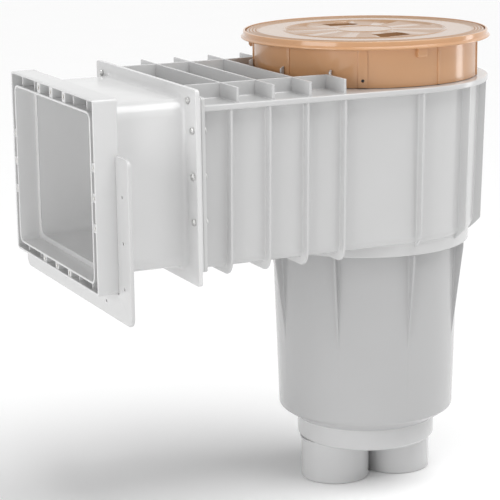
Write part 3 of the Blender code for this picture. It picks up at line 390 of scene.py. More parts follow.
def lidPlastic(name, colour, deep, rough, coat):
    # The lid is polished. The valleys between its ridges and every other half of each sector are rougher and
    # less coated, and get painted shade, a darker colour:
    # valley = (1 - cos(2 pi (r - ring) / pitch)) / 2 near the edge,
    # and half = fraction(sectors a / 2 pi) > 1/2 inside.
    p = lidPattern
    made = Finish(name, colour, Roughness=rough, Coat_Weight=coat, Coat_Roughness=0.05,
                  Specular_IOR_Level=0.5)
    where = made.node("TexCoord", out="Object")
    x, y = (made.node("SeparateXYZ", None, {0: where}, out=k) for k in (0, 1))
    r = (x * x + y * y) ** 0.5

    def between(low, high):
        rise = made.node("MapRange", None, {"Value": r, "From Min": low, "From Max": low + p["soft"]})
        fall = made.node("MapRange", None, {"Value": r, "From Min": high, "From Max": high + p["soft"]})
        return rise * (1 - fall)

    turn = (r - p["ring"]) * (2 * math.pi / p["pitch"])
    valley = (1 - turn.math("COSINE", turn)) * 0.5 * between(*p["rings"])
    share = made.node("Math", {"operation": "ARCTAN2"}, {0: y, 1: x}) * (p["sectors"] / (2 * math.pi)) + 20
    half = made.node("Math", {"operation": "GREATER_THAN"}, {0: share.math("FRACT", share), 1: 0.5})
    mattAndShade = valley * 0.9 + half * between(*p["star"]) * 0.45
    marks = made.noise(55.0, 3.0, 0.5)
    # Painted shade: the colour turns to the darker deep in the valleys and in every other sector half
    made.set("Base Color", made.mix(mattAndShade, colour, deep))
    made.set("Roughness", rough + 0.05 * marks + mattAndShade * 0.35)
    made.set("Coat Weight", coat * (1 - mattAndShade))
    made.set("Normal", made.bump(made.noise(1100.0, 2.0), 0.10, 0.0001))
    return made.material


def steel(name, colour, rough, run=(1, 1, 60)):
    # Turned steel: fine streaks stretched along one direction vary both the tint and the gloss.
    made = Finish(name, colour, Metallic=1.0, Roughness=rough)
    streaks = made.noise(260.0, 4.0, 0.6, made.place(run))
    made.set("Base Color", made.mix(streaks, tuple(c * 0.72 for c in colour), colour))
    made.set("Roughness", rough - 0.08 + 0.2 * streaks)
    made.set("Normal", made.bump(streaks, 0.12, 0.0001))
    return made.material


def rubber(name, colour):
    # Moulded rubber: dull, with a sandy skin and pale dusty patches.
    made = Finish(name, colour, Roughness=0.7)
    dust, sand = made.noise(40.0, 4.0), made.noise(1500.0, 2.0)
    made.set("Base Color", made.mix(dust * 0.35, colour, tuple(c + 0.05 for c in colour)))
    made.set("Roughness", 0.6 + 0.25 * sand)
    made.set("Normal", made.bump(sand, 0.3, 0.0002))
    return made.material


def foam(name, colour):
    # Closed-cell foam: small round cells pit the surface, and painted shade darkens its hollows.
    made = Finish(name, colour, Roughness=0.9)
    cells = made.node("TexVoronoi", None, {"Vector": made.place(), "Scale": 420.0}, out="Distance")
    made.set("Base Color", made.mix(cells, tuple(c * 0.8 for c in colour), colour))
    made.set("Normal", made.bump(cells, 0.5, 0.0005))
    return made.material


finishes = dict(
    housing=moulded("housingWhite", (0.59, 0.59, 0.59), (0.575, 0.575, 0.575), 0.22, 0.2),
    # The tube's copy of the white plastic is lighter than the housing's: painted light
    tube=moulded("tubeWhitePaintedLight", (0.71, 0.71, 0.71), (0.695, 0.695, 0.695), 0.22, 0.25),
    frame=moulded("frameWhite", (0.64, 0.64, 0.64), (0.63, 0.63, 0.63), 0.20, 0.25),
    flange=moulded("flangeWhite", (0.59, 0.59, 0.59), (0.575, 0.575, 0.575), 0.22, 0.2),
    # The bowl's copy of the white plastic is darker than the housing's: painted shade
    bowl=moulded("bowlWhitePaintedShade", (0.46, 0.46, 0.462), (0.445, 0.445, 0.447), 0.22, 0.25),
    ports=moulded("portsWhite", (0.58, 0.58, 0.582), (0.565, 0.565, 0.567), 0.24, 0.2),
    inner=moulded("innerWhite", (0.82, 0.82, 0.82), (0.80, 0.80, 0.80), 0.30),
    tan=moulded("collarTan", (0.60, 0.325, 0.16), (0.57, 0.305, 0.145), 0.18, 0.4),
    lidTan=lidPlastic("lidTan", (0.42, 0.245, 0.13), (0.34, 0.18, 0.085), 0.16, 0.25),
    basket=moulded("basketWhite", (0.80, 0.82, 0.83), (0.77, 0.79, 0.80), 0.38),
    fitting=moulded("fittingGrey", (0.68, 0.69, 0.69), (0.64, 0.65, 0.65), 0.32),
    steel=steel("screwSteel", (0.74, 0.74, 0.73), 0.30),
    blackSteel=steel("setScrewBlack", (0.06, 0.06, 0.06), 0.35),
    brass=steel("platedBrass", (0.74, 0.72, 0.68), 0.34),
    rubber=rubber("sealBlack", (0.022, 0.022, 0.024)),
    paleRubber=rubber("gasketGrey", (0.70, 0.70, 0.70)),
    foam=foam("floatFoam", (0.84, 0.83, 0.77)),
)
print("finishes made")


# ---- housing: throat and upper well, moulded in one ----

housing = dict(
    topR=122.2, lowR=117.2, topZ=-41.0, lowZ=-199.0,   # half-width of the wall, and where its taper runs
    floorOut=-207.5, floorIn=-204.0, wall=4.0, ceiling=-45.5,
    rib=2.8, depth=9.0, root=1.6, edge=0.7,
    hoopX=(-217.2, -175.0, -132.8, -90.6), spokes=(-90, -60, -30, 0, 30, 60, 90),
    bendR=119.0, plainStep=3.0,  # mean radius of the well's wall, and degrees between its stations
    wallTop=-43.2, footR=6.0, innerFoot=(2.5, 3.5), hoopFoot=(16.0, 17.5), spokeFoot=(12.6, 12.5),
    floorR=110.5,
    rimR=132.4, rimLow=-47.0, holeR=118.3, socketZ=-84.0, lipR=120.8, plateR=124.0,
    ringR=113.0, ringBore=109.0, ringLow=-221.0, ringTop=-205.0,
    deckTop=-26.0, deckX=(-209.0, -170.0, -129.0), stubX=-90.0, deckY=85.0, deckEnd=127.5, deckFront=-248.5,
    posts=(-162.0, -134.6, 134.6, 162.0), postR=(121.8, 126.2), postZ=(-44.0, -23.6, -21.6), postHalf=1.1,
    endHalf=134.0, endLow=-207.0, endTop=-32.5, endCorner=3.0, endDepth=4.0, behindEnd=3.0,
)
gate = dict(half=105.5, low=-204.0, top=-45.5, corner=6.0)  # the opening between throat and well


def ribbed(centres, plain, unit=1.0):
    # Stations along a wall as (position, share of the rib's depth):
    # a rib's outline at each centre, and plain ones between.
    h = housing
    half, root, edge, deep = h["rib"] / 2, h["root"], h["edge"], h["depth"]
    side = np.vstack([arc(-half - root, root, root, -90, 0, 4),
                      arc(-half * 0.86 + edge, deep - edge, edge, 180, 90, 4)])
    outline = np.vstack([side, side[::-1] * [-1, 1]])
    stations = [(p, 0.0) for p in plain if all(abs(p - c) > (half + root + 0.6) * unit for c in centres)]
    for c in centres:
        stations += [(c + s * unit, n / deep) for s, n in outline]
    return np.array(sorted(stations, key=lambda p: p[0]))


def uPath(hoops, spokes, plainX, step):
    # The U that the wall follows: along the near side, round the well, back along the far side.
    straight = ribbed(hoops, plainX)
    bend = ribbed(spokes, np.arange(-90, 90.01, step), math.degrees(1 / housing["bendR"]))
    kinds = np.concatenate([np.zeros(len(straight)), np.ones(len(bend)), np.full(len(straight), 2)])
    where = np.concatenate([straight[:, 0], bend[:, 0], straight[::-1, 0]])
    share = np.concatenate([straight[:, 1], bend[:, 1], straight[::-1, 1]])
    return kinds, where, share


def onPath(kinds, where, r, z):
    # Station and (half-width, height) to a point: (X, -r or r, z) beside the throat,
    # (r cos a, r sin a, z) round the well.
    a = np.radians(where)[:, None]
    bend = (kinds == 1)[:, None]
    sign = np.where(kinds == 0, -1.0, 1.0)[:, None]
    x = np.where(bend, r * np.cos(a), where[:, None] + 0 * r)
    y = np.where(bend, r * np.sin(a), sign * r)
    return np.stack([x, y, np.broadcast_to(z, r.shape)], -1)


def withoutSeam(shell, x):
    # Drops the faces in front of x where both halves of the throat meet on its middle plane.
    pts, quads, caps = shell
    inside = (np.abs(pts[quads][..., 1]) < 1e-6).all(1) & (pts[quads][..., 0] < x + 1e-6).all(1)
    return pts, quads[~inside], caps


def innerReach(kinds, where, r):
    # How far a round hole of radius r reaches at a station:
    # r round the well, sqrt(r^2 - x^2) beside it, and 0 before it.
    beside = np.where(where < -r + 1e-6, 0.0, np.sqrt(np.clip(r ** 2 - where ** 2, 0, None)))
    return np.minimum(np.where(kinds == 1, r, beside), r)


def wallShell(frontX):
    # The wall as a grid: stations along the U, and rows down the outside, under the floor and up the inside.
    h = housing
    floorR = h["floorR"]
    plain = (frontX, -235.0, -200.0, -155.0, -120.0, -floorR,
             *(-floorR * np.cos(np.radians(np.arange(8, 89, 8)))))
    kinds, where, share = uPath(h["hoopX"], h["spokes"], plain, h["plainStep"])
    slope = (h["topR"] - h["lowR"]) / (h["topZ"] - h["lowZ"])
    zs = np.linspace(h["wallTop"], h["lowZ"], 7)
    wall = np.column_stack([h["lowR"] + slope * (zs - h["lowZ"]), zs])
    a = np.radians(np.linspace(0, 90, 9)[1:])
    foot, floorDrop = h["footR"], h["floorOut"] - h["lowZ"]
    wallFoot = np.column_stack([h["lowR"] - foot + foot * np.cos(a), h["lowZ"] + floorDrop * np.sin(a)])
    tipR = h["lowR"] + h["depth"]
    hoopIn, hoopDrop = h["hoopFoot"]
    spokeIn, spokeDrop = h["spokeFoot"]
    hoopFoot = np.column_stack([tipR - hoopIn + hoopIn * np.cos(a), h["lowZ"] - hoopDrop * np.sin(a)])
    k = np.linspace(0, 1, 9)[1:]
    spokeFoot = np.column_stack([tipR - spokeIn * k ** 1.15, h["lowZ"] - spokeDrop * k])
    outerWall = np.vstack([wall, wallFoot])
    hoopTip = np.vstack([wall + [h["depth"], 0], hoopFoot])
    spokeTip = np.vstack([wall + [h["depth"], 0], spokeFoot])
    tip = np.where((kinds == 1)[:, None, None], spokeTip, hoopTip)
    outer = outerWall + share[:, None, None] * (tip - outerWall)
    n = len(kinds)
    reach = innerReach(kinds, where, floorR)
    underTip = np.where(kinds == 1, h["lowZ"] - spokeDrop, h["lowZ"] - hoopDrop)
    under = h["floorOut"] + share * (underTip - h["floorOut"])
    floorRows = [np.column_stack([reach, under]), np.column_stack([reach, np.full(n, h["floorIn"])])]
    b = np.radians(np.linspace(90, 0, 5))
    footIn, footHigh = h["innerFoot"]
    innerR, innerZ = h["lowR"] - h["wall"], h["floorIn"] + footHigh
    innerFoot = np.column_stack([innerR - footIn + footIn * np.cos(b), innerZ - footHigh * np.sin(b)])
    zIn = np.array([-150.0, -100.0, h["socketZ"], h["socketZ"], -60.0, h["wallTop"]])
    rIn = innerR + slope * (zIn - h["lowZ"])
    inside = np.vstack([innerFoot, np.column_stack([rIn, zIn])])
    inner = np.broadcast_to(inside, (n, *inside.shape)).copy()
    socket = (kinds == 1) | (where > -12)
    inner[socket, -3:, 0] = np.maximum(inner[socket, -3:, 0], h["holeR"])
    section = np.concatenate([outer, np.stack(floorRows, 1), inner], 1)
    pts = onPath(kinds, where, section[..., 0], section[..., 1])
    rows = surface(pts, closeCols=True, caps=(0, -1))
    return withoutSeam(rows, -floorR)


def deckShell(frontX):
    # The top plate and the lip round it, with the well's round hole.
    h = housing
    hole = h["holeR"]
    plain = (frontX, -200.0, -160.0, -140.0, -125.0, *(-hole * np.cos(np.radians(np.arange(0, 89, 3)))))
    kinds, where, _ = uPath((), (), plain, 2.5)
    back = innerReach(kinds, where, hole)
    rim, top, low = h["rimR"], h["topZ"], h["rimLow"]
    edge = softened([(h["plateR"], top), (rim, top), (rim, low), (h["lipR"], low), (h["lipR"], h["ceiling"])],
                    [0, 1.3, 1.6, 0, 0], 4, closed=False)
    flank = np.broadcast_to(edge[:, 0], (len(where), len(edge)))
    r = np.concatenate([back[:, None], np.minimum(back + 0.7, h["plateR"])[:, None], flank, back[:, None]], 1)
    z = np.concatenate([[top - 0.7], [top], edge[:, 1], [h["ceiling"]]])
    pts = onPath(kinds, where, r, np.broadcast_to(z, r.shape))
    pts[..., 1] = np.where((np.abs(pts[..., 1]) < 0.71) & (pts[..., 0] < -hole - 1e-3), 0.0, pts[..., 1])
    rows = surface(pts, closeCols=True, caps=(0, -1))
    return withoutSeam(rows, -hole)


def deckRibs():
    h = housing
    shells = []
    section = ribSection(h["rib"], h["deckTop"] - h["topZ"], 1.4, 0.6) + [0, h["topZ"]]
    for x in h["deckX"]:
        shells.append(slab(section + [x, 0], -h["deckEnd"], h["deckEnd"], 0.5, "y"))
    for s in (-1, 1):
        y0, y1 = sorted((s * (h["deckY"] - 1.2), s * h["deckEnd"]))
        shells.append(slab(section + [h["stubX"], 0], y0, y1, 0.5, "y"))
        shells.append(slab(section + [s * h["deckY"], -0.15], h["deckFront"], h["stubX"] + 1.3, 0.5, "x"))
    (r0, r1), (z0, z1, z2) = h["postR"], h["postZ"]
    post = softened([(r0, z0), (r1, z0), (r1, z1), (r0 + 0.4, z2), (r0, z2 - 0.1)], [0, 0, 1.0, 0.4, 0], 3)
    for angle in h["posts"]:
        shells.append(turned(slab(post, -h["postHalf"], h["postHalf"], 0.4, "y"), angle))
    return shells


def gateOutline(lift=0.0):
    return rectangle(-gate["half"], gate["half"], gate["low"] + lift, gate["top"], gate["corner"], 6)


def makeHousing():
    h = housing
    low, high = cad("body_housing")
    front = low[0]
    shells = [wallShell(front + h["behindEnd"]), deckShell(front + h["behindEnd"]), *deckRibs()]
    ring = softened([(h["ringR"] + 1.0, h["ringTop"]), (h["ringR"], h["ringTop"] - 4),
                     (h["ringR"], h["ringLow"]), (h["ringBore"], h["ringLow"]),
                     (h["ringBore"], h["ringTop"] + 0.6)], [0, 2, 1.4, 0.5, 0.2], 5)
    shells.append(lathe(ring, 160))
    outer = rectangle(-h["endHalf"], h["endHalf"], h["endLow"], h["endTop"], h["endCorner"], 6)
    shells.append(ringSlab(outer, gateOutline(), front, front + h["endDepth"], 0.6))
    makePiece("housing_shell", shells, finishes["housing"], "housing", ["body_housing"])


makeHousing()
print("housing made")


# ---- throat extension: box tube with its bolted plate ----

extension = dict(half=109.0, top=-37.0, low=-207.5, wall=3.5, corner=16.0, plateHalf=137.0, plateTop=-24.2,
                 plateLow=-220.8, plateCorner=4.0, plate=4.5, fillet=5.0, edge=0.8, between=(-310.0, -285.0))


def makeExtension():
    e = extension
    low, high = cad("throat_extension")
    front, back = low[0], high[0]
    face = back - e["plate"]

    def loop(half, z0, z1, corner):
        return rectangle(-half, half, z0, z1, corner, 8)

    rows = [(front, loop(e["half"], e["low"], e["top"], e["corner"]))]
    rows += [(x, rows[0][1]) for x in e["between"]]
    for a in np.radians(np.linspace(0, 90, 7)):
        grow = e["fillet"] * (1 - math.cos(a))
        rows.append((face - e["fillet"] * (1 - math.sin(a)),
                     loop(e["half"] + grow, e["low"] - grow, e["top"] + grow, e["corner"] + grow)))
    plate = loop(e["plateHalf"], e["plateLow"], e["plateTop"], e["plateCorner"])
    rows += roundOver(lambda d: inset(plate, d), face, 1, e["edge"], (0, 30, 60, 90))
    rows += roundOver(lambda d: inset(plate, d), back, -1, e["edge"], (90, 60, 30, 0))
    inside = loop(e["half"] - e["wall"], e["low"] + e["wall"], e["top"] - e["wall"], e["corner"] - e["wall"])
    rows += [(x, inside) for x in (back, e["between"][1], front)]
    shell = surface(acrossX(rows), closeRows=True, closeCols=True)
    makePiece("extension_shell", [shell], finishes["tube"], "housing", ["throat_extension"])


makeExtension()
print("extension made")


# ---- mouth frame: two lips round a channel, with screw bosses ----

mouthFrame = dict(half=125.0, top=-28.0, low=-221.0, corner=4.0, mouthHalf=113.0, mouthTop=-43.5,
                  mouthLow=-209.5, mouthCorner=7.0, lip=2.4, floorX=-341.0, pitchY=38.0, pitchZ=30.0,
                  boss=4.6, hole=2.6, holeDepth=13.0, edge=0.7, webs=(59.5, 98.0), web=0.9,
                  seat=(109.3, -207.8, -36.7, 16.3), seatX=-338.1, narrow=(105.5, -204.0, -40.5, 12.5))


def bossShell(x0, x1, y, z, dy, dz, hole, depth):
    # A square block whose front face falls into a round hole:
    # rows run from its foot, over the edge and down the hole.
    square = rectangle(y - dy, y + dy, z - dz, z + dz, 0.9, 5)
    a = np.arctan2((square[:, 1] - z) / dz, (square[:, 0] - y) / dy)
    circle = np.column_stack([np.cos(a), np.sin(a)])
    rows = [(x1, square)]
    rows += roundOver(lambda d: inset(square, d), x0, 1, 0.5, (90, 60, 30, 0))
    rows += [(x, circle * r + [y, z]) for x, r in ((x0, hole + 0.4), (x0 + 0.4, hole), (x0 + depth, hole))]
    return surface(acrossX(rows), closeCols=True, caps=(0, -1))


def bossPlaces():
    f = mouthFrame
    top, bottom = (f["top"] + f["mouthTop"]) / 2, (f["low"] + f["mouthLow"]) / 2
    side, middle = (f["half"] + f["mouthHalf"]) / 2, (f["top"] + f["low"]) / 2
    across = [(k * f["pitchY"], z, True) for z in (top, bottom) for k in (-1, 0, 1)]
    return across + [(s * side, middle + k * f["pitchZ"], False) for s in (-1, 1) for k in (-1, 0, 1)]


def makeFrame():
    f = mouthFrame
    low, high = cad("mouth_frame")
    front, back = low[0], high[0]
    lip, edge, rim = f["lip"], f["edge"], 0.5  # rim: how far the inside of each lip's edge slopes

    def outerLoop(d):
        corner = max(f["corner"] - d, 1.2)
        return rectangle(-f["half"] + d, f["half"] - d, f["low"] + d, f["top"] - d, corner, 6)

    def innerLoop(d):
        return rectangle(-f["mouthHalf"] - d, f["mouthHalf"] + d, f["mouthLow"] - d, f["mouthTop"] + d,
                         f["mouthCorner"] + d, 6)

    rows = [(back, outerLoop(0.6)), (back - 0.6, outerLoop(0))]
    rows += roundOver(outerLoop, front, 1, edge, (90, 60, 30, 0))
    rows += [(front, outerLoop(lip - rim)), (front + rim, outerLoop(lip)),
             (f["floorX"] - 1.2, outerLoop(lip)), (f["floorX"], outerLoop(lip + 1.2))]
    rows += [(f["floorX"], innerLoop(lip + 1.2)), (f["floorX"] - 1.2, innerLoop(lip)),
             (front + rim, innerLoop(lip)), (front, innerLoop(lip - rim))]
    rows += roundOver(innerLoop, front, 1, edge, (0, 30, 60, 90))

    def opening(half, z0, z1, corner):
        return rectangle(-half, half, z0, z1, corner, 6)

    seat, narrow = opening(*f["seat"]), opening(*f["narrow"])
    rows += [(f["floorX"] + lip, innerLoop(0)), (f["floorX"] + lip, narrow), (f["seatX"], narrow),
             (f["seatX"], seat), (back, seat)]
    shells = [surface(acrossX(rows), closeRows=True, closeCols=True)]
    for y, z, flat in bossPlaces():
        channel = f["half"] - f["mouthHalf"]
        if flat:
            channel = f["top"] - f["mouthTop"] if z > f["mouthTop"] else f["mouthLow"] - f["low"]
        reach = channel / 2 - lip + 0.6
        dy, dz = (f["boss"], reach) if flat else (reach, f["boss"])
        shells.append(bossShell(front + 1.2, f["floorX"] + 0.6, y, z, dy, dz, f["hole"], f["holeDepth"]))
    for s in (-1, 1):
        for at in f["webs"]:
            for z0, z1 in ((f["mouthTop"], f["top"]), (f["low"], f["mouthLow"])):
                web = rectangle(s * at - f["web"], s * at + f["web"], z0 + lip - 0.6, z1 - lip + 0.6, 0.2, 1)
                shells.append(slab(web, front + 4.0, f["floorX"] + 0.6, 0.3))
    makePiece("frame_shell", shells, finishes["frame"], "housing", ["mouth_frame"])


makeFrame()


# ---- wall flange: the U that stands behind the mouth frame ----

wallFlange = dict(half=158.0, inner=125.3, low=-248.5, innerLow=-221.3, armTop=-83.5, corner=10.0,
                  armCorner=8.0, holes=[(s * 141.5, z) for s in (-1, 1) for z in (-121.4, -167.0, -212.8)]
                  + [(y, -235.0) for y in (-90.0, -30.0, 30.0, 90.0)], holeR=1.6)


def makeFlange():
    w = wallFlange
    low, high = cad("wall_flange")
    corners = [(-w["inner"], w["armTop"]), (-w["half"], w["armTop"]), (-w["half"], w["low"]),
               (w["half"], w["low"]), (w["half"], w["armTop"]), (w["inner"], w["armTop"]),
               (w["inner"], w["innerLow"]), (-w["inner"], w["innerLow"])]
    radii = [1.6, w["armCorner"], w["corner"], w["corner"], w["armCorner"], 1.6, 0.8, 0.8]
    body = slab(softened(corners, radii, 8), low[0], high[0], 1.0, steps=4)
    drills = [slab(arc(y, z, w["holeR"], 0, 345, 23), low[0] - 2, high[0] + 2, 0.05, steps=1)
              for y, z in w["holes"]]
    makePiece("flange_shell", [body], finishes["flange"], "housing", ["wall_flange"],
              holes=drills)


makeFlange()
print("mouth made")


# ---- basket well and port base ----

bowl = dict(topR=102.0, topZ=-222.0, lowR=96.6, lowZ=-409.5, neckR=79.5, neckZ=-421.5, wall=3.6, fin=2.8,
            root=2.2, edge=0.7, finR=111.5, finLowR=98.6, finDepth=9.5, finTop=-227.0, finTip=-325.0)


def makeBowl():
    b = bowl
    top = cad("well_bowl")[1][2]
    base = softened([(98.9, top), (108.7, top), (108.7, -218.0), (105.0, -220.8), (b["topR"], -221.3),
                     (b["topR"] - 0.1, -227.0), (b["topR"] - 2.9, b["finTip"]), (b["lowR"], b["lowZ"]),
                     (b["neckR"], b["neckZ"]), (70.0, b["neckZ"]), (70.0, -414.0), (89.0, -406.0),
                     (93.0, -403.5), (b["topR"] - b["wall"], b["topZ"] + 1)],
                    [0.3, 0.6, 1, 0.5, 0, 0, 0, 5.0, 2.5, 0.3, 0.3, 1, 4, 1], 5)
    z = base[:, 1]
    outside = (base[:, 0] > b["finLowR"] + 0.1) & (z > b["finTip"] - 0.01) & (z < b["topZ"] + 1)
    tip = b["finR"] + (b["finLowR"] - b["finR"]) * (z - b["finTop"]) / (b["finTip"] - b["finTop"])
    reach = np.where(outside, np.minimum(tip, b["finR"]) - base[:, 0], 0.0)
    reach = np.clip(np.where(z > b["finTip"], reach, 0.0), 0, None)
    first = int(np.argmax(reach > 1.0))
    base = np.insert(base, first, base[first], 0)  # the fin's flat top: two rows at one height
    reach = np.insert(reach, first, 0.0)
    more = np.linspace(0, 1, 9)[1:-1]  # extra rows down the fins
    last = first + int(np.argmax(base[first + 1:, 1] < -300)) + 1
    fill = base[last - 1] + (base[last] - base[last - 1]) * more[:, None]
    base = np.insert(base, last, fill, 0)
    reach = np.insert(reach, last, reach[last - 1] + (reach[last] - reach[last - 1]) * more, 0)
    half, root, edge, deep = b["fin"] / 2, b["root"], b["edge"], b["finDepth"]
    side = np.vstack([arc(-half - root, root, root, -90, 0, 5),
                      arc(-half * 0.86 + edge, deep - edge, edge, 180, 90, 4)])
    profile = np.vstack([side, side[::-1] * [-1, 1]])
    stations = []
    for k in range(8):
        stations += [(45 * k + math.degrees(s / b["topR"]), n / deep) for s, n in profile]
        stations += [(45 * k + a, 0.0) for a in np.arange(4.5, 42, 3.0)]
    angle, share = np.array(stations).T
    r = base[None, :, 0] + share[:, None] * reach[None, :]
    a = np.radians(angle)[:, None]
    pts = np.stack([r * np.cos(a), r * np.sin(a), np.broadcast_to(base[:, 1], r.shape)], -1)
    makePiece("bowl_shell", [surface(pts, closeRows=True, closeCols=True)], finishes["bowl"], "housing",
              ["well_bowl"])


portBase = dict(baseR=76.2, neck=69.7, stepZ=-421.8, low=-446.0, x=38.5, portR=37.8, socketR=31.6, bore=28.0)


def makePorts():
    p = portBase
    low, high = cad("port_base")
    end = low[2]
    disc = softened([(0.0, high[2]), (p["neck"], high[2]), (p["neck"], p["stepZ"]), (p["baseR"], p["stepZ"]),
                     (p["baseR"] - 0.4, p["low"] + 2.5), (p["baseR"] - 3.0, p["low"]), (0.0, p["low"])],
                    [0, 0.4, 0, 1.2, 1.5, 2.0, 0], 5, closed=False)
    obj = makePiece("port_shell", [lathe(disc, 144, closed=False)], finishes["ports"], "housing")
    drills = [lathe([(0, high[2] + 1), (p["bore"], high[2] + 1), (p["bore"], p["low"] - 1),
                     (0, p["low"] - 1)], 96, False, (s * p["x"], 0)) for s in (-1, 1)]
    drills.append(lathe([(0, high[2] + 1), (2.8, high[2] + 1), (2.8, -424), (0, -424)], 24, False))
    drilled(obj, drills)
    tubes = []
    for s in (-1, 1):
        section = softened([(p["bore"], -444.5), (p["portR"] + 1.2, -444.5), (p["portR"], -447.5),
                            (p["portR"] - 0.3, end), (p["socketR"], end), (p["socketR"], -453.5),
                            (p["bore"], -453.5)], [0, 0, 1.0, 0.8, 1.2, 0.6, 0.3], 4)
        tubes.append(lathe(section, 112, centre=(s * p["x"], 0)))
    addMesh(obj, meshOf("tubes", tubes))
    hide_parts("port_base")


makeBowl()
makePorts()
print("well made")


# ---- collar: threaded-height ring in tan, with its pads, ribs and lugs ----

collarRing = dict(flangeR=134.0, rimR=131.5, r=121.0, wall=3.0, seat=2.4, lidR=128.4, pad=-119.0, step=40.0,
                  pads=9, padWidth=10.5, ribWidth=3.6, padHeight=1.1, lug=-89.6, lugHalf=5.5, screwZ=-32.8,
                  screwR=1.7, screwAt=121.4)


def screwDirections():  # the three set screws point outwards from the well's axis
    angles = np.radians(collarRing["pad"] + 120 * np.arange(3))
    return [np.array((math.cos(a), math.sin(a), 0)) for a in angles]


def screwDrills(inside, outside):
    c = collarRing
    drill = lathe([(0, inside), (c["screwR"], inside), (c["screwR"], outside), (0, outside)], 20, False)
    return [placed(drill, aimed(out), (0, 0, c["screwZ"])) for out in screwDirections()]


def makeCollar():
    c = collarRing
    low, high = cad("collar")
    top, inner = high[2], c["r"] - c["wall"]
    profile = softened([(inner, low[2]), (c["r"], low[2]), (c["r"], -0.2), (c["flangeR"] - 0.9, -0.2),
                        (c["flangeR"], 0.5), (c["flangeR"], 1.5), (c["rimR"], 2.9), (c["rimR"], top),
                        (c["lidR"] + 0.8, top), (c["lidR"] + 0.8, c["seat"]), (inner, c["seat"])],
                       [0.4, 0.6, 2.2, 0.4, 0.4, 0.4, 1.6, 1.3, 0.4, 0.3, 0.6], 5)
    shells = [lathe(profile, 192)]
    for k in range(c["pads"]):
        width = c["padWidth"] if k % 3 == 0 else c["ribWidth"]
        pad = rectangle(c["r"] - 0.8, c["r"] + c["padHeight"], -width / 2, width / 2, 0.7, 4)
        shells.append(turned(slab(pad, low[2] + 0.5, 0.3, 0.3, "z"), c["pad"] + c["step"] * k))
    lug = softened([(c["r"] - 0.8, -10.5), (c["r"] + 3.0, -10.5), (c["r"] + 4.5, -8.0), (c["r"] + 4.5, 0.4),
                    (c["r"] - 0.8, 0.4)], [0, 0.6, 0.6, 0, 0], 4)
    for k in range(3):
        shells.append(turned(slab(lug, -c["lugHalf"], c["lugHalf"], 0.5, "y"), c["lug"] + 120 * k))
    obj = makePiece("collar_shell", shells[:1], finishes["tan"], "collar", ["collar"])
    drills = screwDrills(110, 130)
    drilled(obj, drills)
    addMesh(obj, drilledMesh("pads", shells[1:], drills))


makeCollar()


# ---- lid ----

lidTop = dict(r=128.4, skirt=117.0, drop=-6.0, ridges=(126.2, 123.0, 119.6, 116.2), bead=87.6, hub=29.5,
              sectors=10, fall=1.5, pocketX=17.2, pocketY0=45.5, pocketY1=70.5, pocketZ=-3.6)


def makeLid():
    # The top is a height field on a polar grid: round ridges near the edge,
    # and ten sloping sectors between two beads.
    t = lidTop
    low, high = cad("lid")
    top = high[2]
    rr = np.unique(np.concatenate([np.linspace(0, t["hub"] - 2, 6),
                                   np.linspace(t["hub"] - 2, t["hub"] + 2, 9),
                                   np.linspace(t["hub"] + 2, t["bead"] - 3, 22),
                                   np.linspace(t["bead"] - 3, t["bead"] + 3, 13),
                                   np.linspace(t["bead"] + 3, 113.5, 8), np.linspace(113.5, 127.0, 55)]))
    steps = 360
    a = 2 * np.pi * np.arange(steps) / steps
    r, ang = rr[:, None], a[None, :]
    height = np.full((len(rr), steps), top - 0.75)
    for g in t["ridges"]:  # a ridge is a smooth bump, h = exp(-((r - g) / w)^2)
        height += 0.75 * np.exp(-((r - g) / 0.85) ** 2)
    height += 0.75 * np.exp(-((r - t["bead"]) / 0.9) ** 2) + 0.6 * np.exp(-((r - t["hub"]) / 0.8) ** 2)
    share = (ang * t["sectors"] / (2 * np.pi)) % 1.0  # place within a sector, 0 to 1
    inside = 1 / (1 + np.exp(-(r - t["hub"] - 2.2) * 2.5)) / (1 + np.exp((r - t["bead"] + 2.6) * 2.5))
    wedge = np.minimum(share, 0.12) / 0.12 * (1 - share)  # a quick rise at a spoke, then a slow fall
    height -= inside * (t["fall"] * wedge * (r - t["hub"]) / (t["bead"] - t["hub"]) * 1.25 + 0.25)
    height = np.minimum(height, top)
    pts = np.stack([r * np.cos(ang), r * np.sin(ang), height], -1)
    under = softened([(127.0, top - 0.55), (t["r"] - 0.2, top - 0.9), (t["r"], top - 2.4), (t["r"], 2.8),
                      (t["skirt"], 2.8), (t["skirt"], t["drop"]), (t["skirt"] - 2.6, t["drop"]),
                      (t["skirt"] - 2.6, top - 4.2), (0.0, top - 4.2)],
                     [0.1, 0.8, 0.3, 0.4, 0.3, 0.5, 0.5, 0.8, 0], 4, closed=False)[1:]
    skirt = np.stack([under[:, :1] * np.cos(a), under[:, :1] * np.sin(a),
                      np.broadcast_to(under[:, 1:], (len(under), steps))], -1)
    plate = surface(np.concatenate([pts, skirt]), closeCols=True)
    cups, drills = [], []
    for s in (-1, 1):
        y0, y1 = sorted((s * (t["pocketY0"] - 2.5), s * (t["pocketY1"] + 2.5)))
        z0, z1 = sorted((s * t["pocketY0"], s * t["pocketY1"]))
        cups.append(slab(rectangle(-20, 20, y0, y1, 4.0, 4), -5.8, top - 3.2, 0.4, "z"))
        drills.append(slab(rectangle(-t["pocketX"], t["pocketX"], z0, z1, 2.5, 5), t["pocketZ"], top + 2, 0.3,
                           "z"))
    obj = makePiece("lid_shell", [plate], finishes["lidTan"], "lid", ["lid"], sharp=30)
    combined(obj, cups, "UNION")
    drilled(obj, drills)
    smoothed(obj, 30)


makeLid()
print("collar and lid made")


# ---- sleeve under the collar, and its set screws ----

sleeveWall = 3.0


